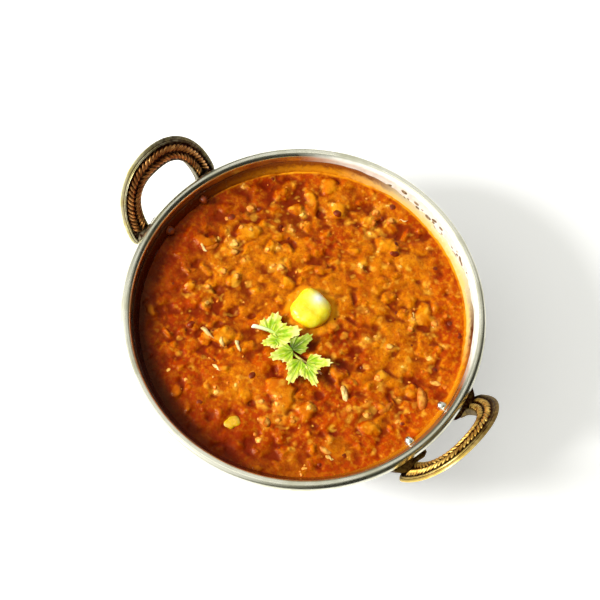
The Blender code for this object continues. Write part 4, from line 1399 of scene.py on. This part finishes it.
film_angles = np.arange(FILM_STEPS) * 2.0 * math.pi / FILM_STEPS
edge_angles, *edge_columns = zip(*FILM_EDGE)
edge_down, ragged, cream_and_shade_by_angle, painted_shade = (np.interp(np.degrees(film_angles), edge_angles, column)
                                      for column in edge_columns)
film_top = BEAD_Z - MM * (edge_down - ragged * (0.5 * ring_noise(5.0) + 0.35 * ring_noise(2.0)))
film_thickness = 0.45 * MM * (1.0 + 0.10 * ring_noise(16.0))
print("film: top %.1f to %.1f mm" % (film_top.min() / MM, film_top.max() / MM))

# %% [markdown]
# The skin is thick at its foot and thins out upwards. Its section is a front and a back, and the
# finish reads from it how far up each point is, how ragged and creamy, and how much painted shade it
# carries.

# %% The film's mesh and finish


def make_film(material):
    points = []
    for angle, top, thickness in zip(film_angles, film_top, film_thickness):
        front, back = [], []
        for share in np.linspace(0.0, 1.0, FILM_ROWS):
            height = FILM_FOOT + (top - FILM_FOOT) * share
            depth = thickness * (1.0 - share) ** 1.3 + 0.16 * MM * (1.0 - share ** 8) + 0.01 * MM
            for side, off in ((front, FILM_OFF_WALL + depth), (back, FILM_OFF_WALL)):
                radius = wall_radius(height, -off)
                side.append((radius * math.cos(angle), radius * math.sin(angle), height))
        points += front + back[::-1]
    count = 2 * FILM_ROWS
    faces = grid_faces(FILM_STEPS, count, wrap=True)
    last = (FILM_STEPS - 1) * count
    faces += [(last + i, last + (i + 1) % count, (i + 1) % count, i) for i in range(count)]
    mesh = new_mesh("film_on_wall", points, faces, material)
    up_and_down = np.concatenate([np.linspace(0.0, 1.0, FILM_ROWS), np.linspace(1.0, 0.0, FILM_ROWS)])
    set_attribute(mesh, "share", np.tile(up_and_down, FILM_STEPS))
    for name, values in (("ragged", ragged), ("cream_and_shade", cream_and_shade_by_angle), ("painted_shade", painted_shade)):
        set_attribute(mesh, name, np.repeat(values, count))
    return mesh


def make_film_finish():
    material, tree, shader = new_finish("gravy_film", {"Specular IOR Level": 0.5})
    share = read_attribute(tree, "share")
    streaks = use_group(tree, mottling, size=2.4, low=0.35, high=0.7)
    level = maths(tree, "ADD", share, spread(tree, streaks, -0.10, 0.10))
    cream_and_shade = read_attribute(tree, "cream_and_shade")
    low, high = ramp(tree, level, 0.06, 0.26), ramp(tree, level, 0.40, 0.76)
    shaded, bright, pale = (ramp(tree, cream_and_shade, start, start + 0.5) for start in (-0.5, 0.0, 0.5))
    dried_skin = mix_colours(tree, high, mix_colours(tree, low, "d09840", "d4b86c"), "d2c498")
    oily_skin = mix_colours(tree, low, "c06404", "dc8c14")
    # painted shade: the film's colour where the wall is in shadow
    painted_shadow_skin = mix_colours(tree, shaded, "2a0600", "641a02")
    skin = mix_colours(tree, pale, mix_colours(tree, bright, painted_shadow_skin, oily_skin), dried_skin)
    # painted shade: the film's upper part darkened to brown
    brown = product(tree, high, read_attribute(tree, "painted_shade"))
    painted_shade_brown = mix_colours(tree, bright, mix_colours(tree, shaded, "200400", "501402"),
                             mix_colours(tree, pale, "8c440c", "401c08"))
    skin = mix_colours(tree, brown, skin, painted_shade_brown)
    dried = product(tree, ramp(tree, level, 0.97, 1.06), read_attribute(tree, "ragged"))
    skin = mix_colours(tree, dried, skin, "5c3008")
    link_inputs(tree, shader, base_color=skin, roughness=spread(tree, streaks, 0.14, 0.30))
    add_bump(tree, shader, use_group(tree, fine_grain, size=0.9, depth=0.10))
    return material


dress(new_piece("film_on_wall", make_film(make_film_finish())), "gravy")

# %% [markdown]
# Above the film the steel is bare, but small splashes have dried on it. They are flat brown
# grains, so the grain tree sets them too, facing in from the wall. The far rivets were splashed
# as well and carry a coat of film, painted dark as the shade on that side of the wall.

# %% Dried splashes and the far rivets
SPLASH_COUNT = 20
SPLASH_ZONE = (57, 101)          # degrees round the wall
SPLASH_HEIGHTS = (3.9, 0.9)      # lowest and highest, below the bead's middle, in mm


dried_gravy = mottled_finish("dried_gravy", {"Specular IOR Level": 0.4}, 0.8, (0.35, 0.7),
                             ("5c4024", "a08860"), (0.35, 0.6))
# dark coat on the far rivets, painted as shade
rivet_coat_in_shade = mottled_finish("rivet_under_gravy", {"Specular IOR Level": 0.25}, 1.6, (0.38, 0.62),
                            ("5c1e06", "8a3808"), (0.25, 0.4))


def set_splashes():
    places, facings, headings, scales = [], [], [], []
    for _ in range(SPLASH_COUNT):
        angle = math.radians(chance.uniform(*SPLASH_ZONE))
        lowest, highest = SPLASH_HEIGHTS
        height = BEAD_Z - MM * (highest + (lowest - highest) * chance.random() ** 0.6)
        radius = wall_radius(height, -0.05 * MM)
        inward = direction(math.degrees(angle) + 180.0, 90.0 - math.degrees(WALL_ANGLE))
        round_wall = Vector((-math.sin(angle), math.cos(angle), 0.0))
        tilt = chance.uniform(-0.5, 0.5)
        places.append((radius * math.cos(angle), radius * math.sin(angle), height))
        facings.append(inward)
        headings.append(math.cos(tilt) * round_wall + math.sin(tilt) * inward.cross(round_wall))
        scales.append(0.6 + 1.1 * chance.random() ** 2)
    host = grain_host("dried_splashes", places, facings, headings, scales)
    shape = grain_shape(2.2, 1.0, 0.3, crumple=0.4)
    return dress(grow("dried_splashes", grain_setter, host, {**shape, "Finish": dried_gravy}), "gravy")


set_splashes()
set_rivets("rivets_far", math.pi, rivet_coat_in_shade, "rivet_far_left", "rivet_far_right")

# %% [markdown]
# ## Butter
# A pat of butter softens on hot dal: its edges round off, one corner sags, and clear fat spreads
# round it. Both pieces are the same soft lump, a ball squared off when seen from above, and butter
# lets light in, so its finish scatters light below the skin.

# %% Butter finish
def make_butter():
    material, tree, shader = new_finish("butter_soft", {
        "Subsurface Weight": 0.9, "Subsurface Scale": 6.0 * MM, "Subsurface Radius": (1.0, 0.85, 0.10),
        "Specular IOR Level": 0.5})
    soft = use_group(tree, mottling, size=5.0, low=0.30, high=0.70)
    wet = use_group(tree, mottling, size=2.0, low=0.4, high=0.7)
    skin = mix_colours(tree, soft, "ffd208", "ffea40")
    skin = mix_colours(tree, ramp(tree, read_attribute(tree, "raised"), 0.0, 0.35), "f0a808", skin)
    # painted highlight: near white on the pat's peak
    skin = mix_colours(tree, read_attribute(tree, "painted_highlight"), skin, "fffff0")
    skin = mix_colours(tree, product(tree, read_attribute(tree, "melted"), 0.9), skin, "ffa000")
    link_inputs(tree, shader, base_color=skin, roughness=spread(tree, wet, 0.22, 0.42))
    add_bump(tree, shader, use_group(tree, fine_grain, size=1.2, depth=0.10))
    return material


butter_finish = make_butter()
print("butter finish:", len(butter_finish.node_tree.nodes), "nodes")

# %% [markdown]
# The pat keeps one corner, has a peak where the knife left it and a dip where it sags, and a
# highlight is painted near white on its peak. The small piece has softened more: it is lower,
# longer and darker.

# %% Shape the butter
BUTTER_PEAK = Vector((-0.02, 0.62))      # where the pat's top is highest, in shares of its radius
BUTTER_DIP = Vector((0.0, 0.1))          # where it has sagged
BUTTER_ROWS, BUTTER_COLUMNS = 44, 96


def make_lump(name, node, sunk, squareness, corner, softened):
    """A softened pat that fills a node's box; sunk is its depth below its widest level."""
    low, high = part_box(node)
    radius = 0.25 * (high.x - low.x + high.y - low.y) / 1.02 * (1.0 - 0.12 * softened)
    height = (high.z - low.z - sunk) * (0.84 - 0.52 * softened)
    middle = Vector((0.5 * (low.x + high.x), 0.5 * (low.y + high.y), low.z + sunk))
    points, raised, painted_highlight = [], [], []
    for polar in np.linspace(0.02, math.pi - 0.02, BUTTER_ROWS):
        for angle in np.linspace(0.0, 2.0 * math.pi, BUTTER_COLUMNS, endpoint=False):
            outline = (abs(math.cos(angle)) ** squareness
                       + abs(math.sin(angle)) ** squareness) ** (-1.0 / squareness)
            outline *= 1.0 + 0.10 * math.exp(-((angle - corner) / 0.35) ** 2)
            outline *= 1.0 + 0.03 * math.sin(3.0 * angle + 1.0) + 0.012 * math.sin(7.0 * angle + 5.0 * polar)
            outline *= 1.0 + softened * (0.17 * math.cos(2.0 * (angle - 1.2)) + 0.06 * math.sin(5.0 * angle))
            across = radius * outline * math.sin(polar) ** 0.72
            level = math.cos(polar)
            place = Vector((across * math.cos(angle), across * math.sin(angle), level * sunk))
            peak = 0.0
            if level > 0.0:
                peak = math.exp(-((place.xy - radius * BUTTER_PEAK).length / (0.34 * radius)) ** 2)
                dip = math.exp(-((place.xy - radius * BUTTER_DIP).length / (0.40 * radius)) ** 2)
                place.z = height * (level ** 0.8 * (0.92 - 0.07 * dip) + 0.14 * peak * level)
                wobble = noise.noise_vector(place / (3.4 * MM) + Vector((corner, 0.0, 0.0)))
                place += 0.2 * MM * level * wobble
            points.append(middle + place)
            raised.append(max(level, 0.35 * softened))
            painted_highlight.append(peak)
    mesh = new_mesh(name, points, tube_faces(BUTTER_ROWS, BUTTER_COLUMNS), butter_finish)
    set_attribute(mesh, "raised", raised)
    set_attribute(mesh, "painted_highlight", np.array(painted_highlight) * (1.0 - softened))
    set_attribute(mesh, "melted", [softened] * len(points))
    return dress(new_piece(name, mesh), "butter", node)


make_lump("butter_pat", "butter", 1.4 * MM, 2.6, 2.5, 0.0)
make_lump("butter_crumb", "butter_bit", 1.2 * MM, 2.3, 0.6, 1.0)

# %% [markdown]
# ## Coriander
# The garnish is one sprig: a cut stalk with eight leaflets, each a fan of three toothed lobes with
# pleats between its veins. A leaflet is a grid of reach against angle, with its outline, pleats
# and veins as functions of the angle, closed to a thin plate. The stalk is a tapered tube.

# %% Leaf finish
def make_leaf():
    material, tree, shader = new_finish("coriander_leaf", {
        "Subsurface Weight": 0.15, "Subsurface Scale": 0.4 * MM, "Subsurface Radius": (0.8, 1.0, 0.1),
        "Specular IOR Level": 0.35})
    blotch = use_group(tree, mottling, size=2.6, low=0.38, high=0.62)
    lime = mix_colours(tree, blotch, "98c800", "c4dc08")
    rim = mix_colours(tree, blotch, "e2dc4c", "f8f498")
    lime = mix_colours(tree, read_attribute(tree, "outer"), lime, rim)
    # painted shade on the leaflets
    leaf = mix_colours(tree, read_attribute(tree, "painted_leaf_shade"), lime, "486000")
    vein = product(tree, read_attribute(tree, "vein"), spread(tree, blotch, 0.15, 0.8))
    leaf = mix_colours(tree, vein, leaf, "f0f094")
    link_inputs(tree, shader, base_color=leaf, roughness=spread(tree, blotch, 0.32, 0.50))
    add_bump(tree, shader, use_group(tree, fine_grain, size=0.6, depth=0.05))
    return material


leaf_finish = make_leaf()
print("leaf finish:", len(leaf_finish.node_tree.nodes), "nodes")

# %% [markdown]
# The outline is the farthest reach of three round lobes, broken by two rows of teeth. Leaflets
# are listed from the stalk's cut end to its tip, because a sprig is never regular, and each lies
# a little higher than the one before, so that they overlap without touching.

# %% A leaflet's outline
SPRIG_START = Vector((-13.2 * MM, -18.6 * MM, DAL_LEVEL + 0.9 * MM))
SPRIG_FRAME = Matrix.Translation(SPRIG_START) @ Matrix.Rotation(math.radians(7.0), 4, "Z")
SPRIG_LENGTH = 37.4 * MM
LEAF_THICKNESS = 0.26 * MM
LEAF_LEVEL = 1.0                 # above the sprig's base line, in mm
LEAF_ROWS_AND_COLUMNS = (14, 61)
LEAF_EDGE = 76.0                 # a leaflet ends this many degrees from its middle
LOBES = (-52, 0, 52)             # degrees from the leaflet's middle
# along and beside the stalk in mm, heading in degrees, length, width, lift in mm, how dark its painted shade
# is
LEAFLETS = ((8.0, 1.6, 104, 9.6, 12.0, 1.2, 0.0), (9.8, 1.2, 46, 12.6, 11.4, 2.4, 0.1),
            (13.4, 1.4, -131, 7.6, 7.4, 0.5, 0.0), (20.4, 1.1, 72, 10.8, 9.2, 1.2, 0.9),
            (21.3, 1.0, -126, 10.6, 9.6, 0.6, 0.15), (26.2, -0.4, -79, 12.0, 9.6, 0.4, 0.1),
            (29.0, 0.0, 33, 11.0, 8.2, 1.4, 0.0), (29.2, -1.0, -29, 11.0, 8.0, 1.0, 0.05))


def wave(degrees):
    return math.cos(math.radians(degrees))


def lobe_outline(turn):
    """Reach of the leaflet at an angle from its middle, and how near that is to a vein."""
    reach, vein = 0.0, 0.0
    for middle, size in zip(LOBES, (0.78, 1.0, 0.78)):
        off = abs(turn - middle)
        reach = max(reach, size * max(wave(min(off * 2.1, 90.0)), 0.0) ** 0.45)
        vein = max(vein, math.exp(-(off / 3.2) ** 2), 0.2 * math.exp(-((off - 13.0) / 2.0) ** 2))
    teeth = 0.055 * wave(turn * 24.0) + 0.03 * wave(turn * 41.0)
    return max(reach, 0.50) * (1.0 + teeth), vein


print("middle lobe reaches %.2f" % lobe_outline(0.0)[0])

# %% [markdown]
# A leaflet is two such grids, its upper and its lower face, joined round the edge. Pleats, a
# curl at the edge and a rise along its length keep it from looking cut out of paper.

# %% Shape the leaflets

def make_leaflet(along, side, heading, length, width, lift, painted_leaf_shade, level):
    """Points, vein, painted shade and outer values, and faces of one leaflet in the dish's frame."""
    rows, columns = LEAF_ROWS_AND_COLUMNS
    frame = SPRIG_FRAME @ Matrix.Translation((along * MM, side * MM, level)) \
        @ Matrix.Rotation(math.radians(heading), 4, "Z")
    turns = np.linspace(-LEAF_EDGE, LEAF_EDGE, columns)
    half_width = max(lobe_outline(turn)[0] * math.sin(math.radians(turn)) for turn in turns)
    points, veins, painted_leaf_shades, outers = [], [], [], []
    for face in (1.0, 0.0):
        for row in range(rows):
            out = 0.04 + 0.96 * row / (rows - 1)
            for turn in turns:
                reach, vein = lobe_outline(turn)
                x = out * reach * length * wave(turn)
                y = out * reach * math.sin(math.radians(turn)) * 0.5 * width / half_width
                pleat = 0.20 * wave(turn * 360.0 / 26.0 + 40.0 * out) * out ** 1.5
                curl = -0.5 * max(out - 0.75, 0.0) / 0.25 * (0.6 + 0.4 * math.sin(0.11 * turn + heading))
                z = lift * (x / length) ** 2 + pleat + 0.45 * curl + 0.8 * abs(y) / width
                z += LEAF_THICKNESS / MM * (face if 0 < row < rows - 1 else 0.5)
                points.append(frame @ Vector((x * MM, y * MM, z * MM)))
                veins.append(vein * (1.0 - 0.5 * out))
                # painted shade: darker towards the leaflet's base, in creases and on darker leaflets
                crease_shade = 0.4 * max(wave(turn * 360.0 / 52.0 + 90.0 * heading), 0.0)
                painted_leaf_shades.append(painted_leaf_shade * (1.0 - 0.6 * out) + 0.5 * (1.0 - out) ** 2 + crease_shade * (1.0 - out))
                outers.append(max(out - 0.55, 0.0) / 0.45 * (1.0 - 0.6 * painted_leaf_shade))
    top = grid_faces(rows, columns)
    size = rows * columns
    bottom = [tuple(size + corner for corner in face[::-1]) for face in top]
    edge = [*range(columns), *range(2 * columns - 1, size, columns),
            *range(size - 2, size - columns - 1, -1), *range(size - 2 * columns, 0, -columns)]
    sides = [(edge[i], edge[i - 1], edge[i - 1] + size, edge[i] + size) for i in range(len(edge))]
    return points, veins, painted_leaf_shades, outers, top + bottom + sides


def make_leaves():
    points, faces, values = [], [], {"vein": [], "painted_leaf_shade": [], "outer": []}
    for index, leaflet in enumerate(LEAFLETS):
        made = make_leaflet(*leaflet, (LEAF_LEVEL + 0.10 * index) * MM)
        faces += [tuple(corner + len(points) for corner in face) for face in made[-1]]
        points += made[0]
        for name, part in zip(values, made[1:-1]):
            values[name] += part
    mesh = new_mesh("coriander_leaves", points, faces, leaf_finish)
    for name, part in values.items():
        set_attribute(mesh, name, part)
    return dress(new_piece("coriander_leaves", mesh), "leaf", "coriander")


make_leaves()

# %% [markdown]
# The stalk is a ribbed tube that bows to one side. Its cut end is nearly white, its tip reddish.

# %% The stalk
STALK_RADIUS, STALK_TAPER = 1.15 * MM, 0.6
STALK_STEPS, STALK_CORNERS = 48, 16
STALK_BOW, BOW_LENGTH = 3.0 * MM, 21.0 * MM


def make_stalk_finish():
    material, tree, shader = new_finish("coriander_stalk", {"Specular IOR Level": 0.4})
    along = read_attribute(tree, "along")
    fibres = use_group(tree, mottling, size=1.2, low=0.35, high=0.7)
    cut, ripe = ramp(tree, along, 0.0, 0.28), ramp(tree, along, 0.55, 0.85)
    green = mix_colours(tree, cut, "f8f8d8", mix_colours(tree, fibres, "a8d020", "d0e868"))
    link_inputs(tree, shader, base_color=mix_colours(tree, ripe, green, "d8a070"),
                roughness=spread(tree, fibres, 0.3, 0.5))
    return material


def stalk_side(along):
    return STALK_BOW * math.sin(math.pi * min(along / BOW_LENGTH, 1.0))


def make_stalk():
    points, places = [], []
    for step in range(STALK_STEPS + 1):
        share = step / STALK_STEPS
        along = SPRIG_LENGTH * share
        radius = STALK_RADIUS * (1.0 - STALK_TAPER * share ** 0.5)
        radius *= 0.8 if step in (0, STALK_STEPS) else 1.0
        for corner in range(STALK_CORNERS):
            angle = 2.0 * math.pi * corner / STALK_CORNERS
            ribbed = radius * (1.0 + 0.06 * math.cos(5.0 * angle))
            points.append(SPRIG_FRAME @ Vector((along, stalk_side(along) + ribbed * math.cos(angle),
                                                radius + ribbed * math.sin(angle))))
            places.append(share)
    faces = tube_faces(STALK_STEPS + 1, STALK_CORNERS)
    mesh = new_mesh("coriander_stalk", points, faces, make_stalk_finish())
    set_attribute(mesh, "along", places)
    return dress(new_piece("coriander_stalk", mesh), "leaf")


make_stalk()

# %% [markdown]
# ## Light, floor and camera
# The dish stands on a plain pale table. It is a bare square, far wider than any view of it, with
# a faint glow of its own, so that it stays pale in the dish's shade.

# %% Floor
FLOOR_GLOW = 0.3
FLOOR_HALF, FLOOR_Z = 20.0, -0.2 * MM


def make_floor():
    material, tree, shader = new_finish("white_table", {"Roughness": 0.7, "Emission Strength": FLOOR_GLOW})
    shade = use_group(tree, mottling, size=400.0, low=0.2, high=0.8)
    link_inputs(tree, shader, base_color=mix_colours(tree, shade, "f4f4f2", "ffffff"))
    shader.inputs["Emission Color"].default_value = paint("ffffff")
    corners = [(x * FLOOR_HALF, y * FLOOR_HALF, FLOOR_Z) for x, y in ((-1, -1), (1, -1), (1, 1), (-1, 1))]
    floor = new_piece("table", new_mesh("table", corners, [(0, 1, 2, 3)], material, smooth=False))


make_floor()
print("floor:", 2 * FLOOR_HALF, "m wide")

# %% [markdown]
# One large round lamp gives the soft shadow and the glints on the gravy. It stands low on one
# side, as a window does.

# %% Key light
KEY_TOWARDS = direction(232, 35)
KEY_DISTANCE, KEY_SIZE, KEY_POWER = 1.1, 0.34, 17.0


def add_key_light():
    lamp = bpy.data.lights.new("key_light", "AREA")
    lamp.shape = "DISK"
    lamp.size, lamp.energy = KEY_SIZE, KEY_POWER
    place = Matrix.Translation(KEY_TOWARDS * KEY_DISTANCE + Vector((0, 0, DAL_LEVEL)))
    turn = KEY_TOWARDS.to_track_quat("Z", "Y").to_matrix().to_4x4()
    new_piece("key_light", lamp).matrix_world = place @ turn
    print("key light: %.0f W" % lamp.energy)


add_key_light()

# %% [markdown]
# Polished steel shows whatever stands round it, so the studio is painted on the sky: soft patches
# of light with dim wall between them. The rim is bright where it mirrors a patch and olive grey
# where it mirrors the wall.

# %% Studio walls
SKY_BASE = 0.03
# azimuth, elevation, brightness, and the angles from its middle where a patch fades out and where
# it is full, in degrees: the window, the pale wall opposite, a lamp high on the left, one straight
# above, and a faint wide glow on the left
SKY_PATCHES = ((236, 34, 1.10, 62, 28), (108, 37, 0.95, 38, 22), (165, 76, 1.15, 16.5, 10),
               (0, 84, 0.40, 17, 9), (150, 60, 0.14, 50, 20))
HORIZON = (0.60, 9, 3)           # brightness, and the elevations where it fades out and is full
LIT = (0.12, 0.85)               # strengths at which the sky's colour is that of wall and of light


def add_studio():
    world = bpy.data.worlds.new("studio")
    scene.world = world
    world.use_nodes = True
    sky = world.node_tree
    looking = add_node(sky, "ShaderNodeTexCoord").outputs["Generated"]
    strength = SKY_BASE
    for azimuth, elevation, brightness, wide, narrow in SKY_PATCHES:
        facing = add_node(sky, "ShaderNodeVectorMath", {0: looking, 1: direction(azimuth, elevation)},
                          operation="DOT_PRODUCT").outputs["Value"]
        patch = ramp(sky, facing, wave(wide), wave(narrow), high=brightness, smooth=True)
        strength = maths(sky, "ADD", patch, strength)
    brightness, fades, full = HORIZON
    rise = maths(sky, "ABSOLUTE", parts_of(sky, looking)[2])
    band = ramp(sky, rise, wave(90.0 - fades), wave(90.0 - full), high=brightness)
    strength = maths(sky, "ADD", band, strength)
    background = sky.nodes["Background"].inputs
    sky.links.new(strength, background["Strength"])
    sky.links.new(mix_colours(sky, ramp(sky, strength, *LIT), "9c9c6c", "fafaf4"), background["Color"])
    print("studio:", len(SKY_PATCHES), "patches of light")


add_studio()
scene.view_settings.view_transform = "Standard"

# %% [markdown]
# The camera looks steeply down on the dish, as someone at the table would, with the dish a little
# below the middle of the view.

# %% Camera
CAMERA_TURN = math.radians(37.83)
CAMERA_DROP = math.radians(68.85)      # below the horizon
CAMERA_ROLL = math.radians(5.21)
CAMERA_DISTANCE = 0.600                # from the middle of the rim
FOCAL_LENGTH = 2.288                   # in widths of the view, as are the next two
RIM_MIDDLE_RIGHT = 0.00617             # the rim's middle lies this far right of the view's middle
RIM_MIDDLE_DOWN = 0.01983


def add_camera():
    turn = Matrix.Rotation(CAMERA_TURN, 3, "Z")
    ahead = turn @ Vector((0.0, math.cos(CAMERA_DROP), -math.sin(CAMERA_DROP)))
    level = turn @ Vector((1.0, 0.0, 0.0))
    upright = turn @ Vector((0.0, math.sin(CAMERA_DROP), math.cos(CAMERA_DROP)))
    place = Vector((0.0, 0.0, BEAD_Z)) - CAMERA_DISTANCE * ahead
    right = math.cos(CAMERA_ROLL) * level + math.sin(CAMERA_ROLL) * upright
    up = math.cos(CAMERA_ROLL) * upright - math.sin(CAMERA_ROLL) * level
    aim = (ahead - RIM_MIDDLE_RIGHT / FOCAL_LENGTH * right
           + RIM_MIDDLE_DOWN / FOCAL_LENGTH * up).normalized()
    right = (right - aim * right.dot(aim)).normalized()
    up = right.cross(aim)
    camera = bpy.data.cameras.new("camera")
    camera.sensor_width = 36.0
    camera.lens = camera.sensor_width * FOCAL_LENGTH
    camera.clip_start = 0.01
    item = new_piece("camera", camera)
    item.matrix_world = Matrix.Translation(place) @ Matrix((right, up, -aim)).transposed().to_4x4()
    scene.camera = item
    print("camera: %.0f mm lens" % camera.lens)


add_camera()
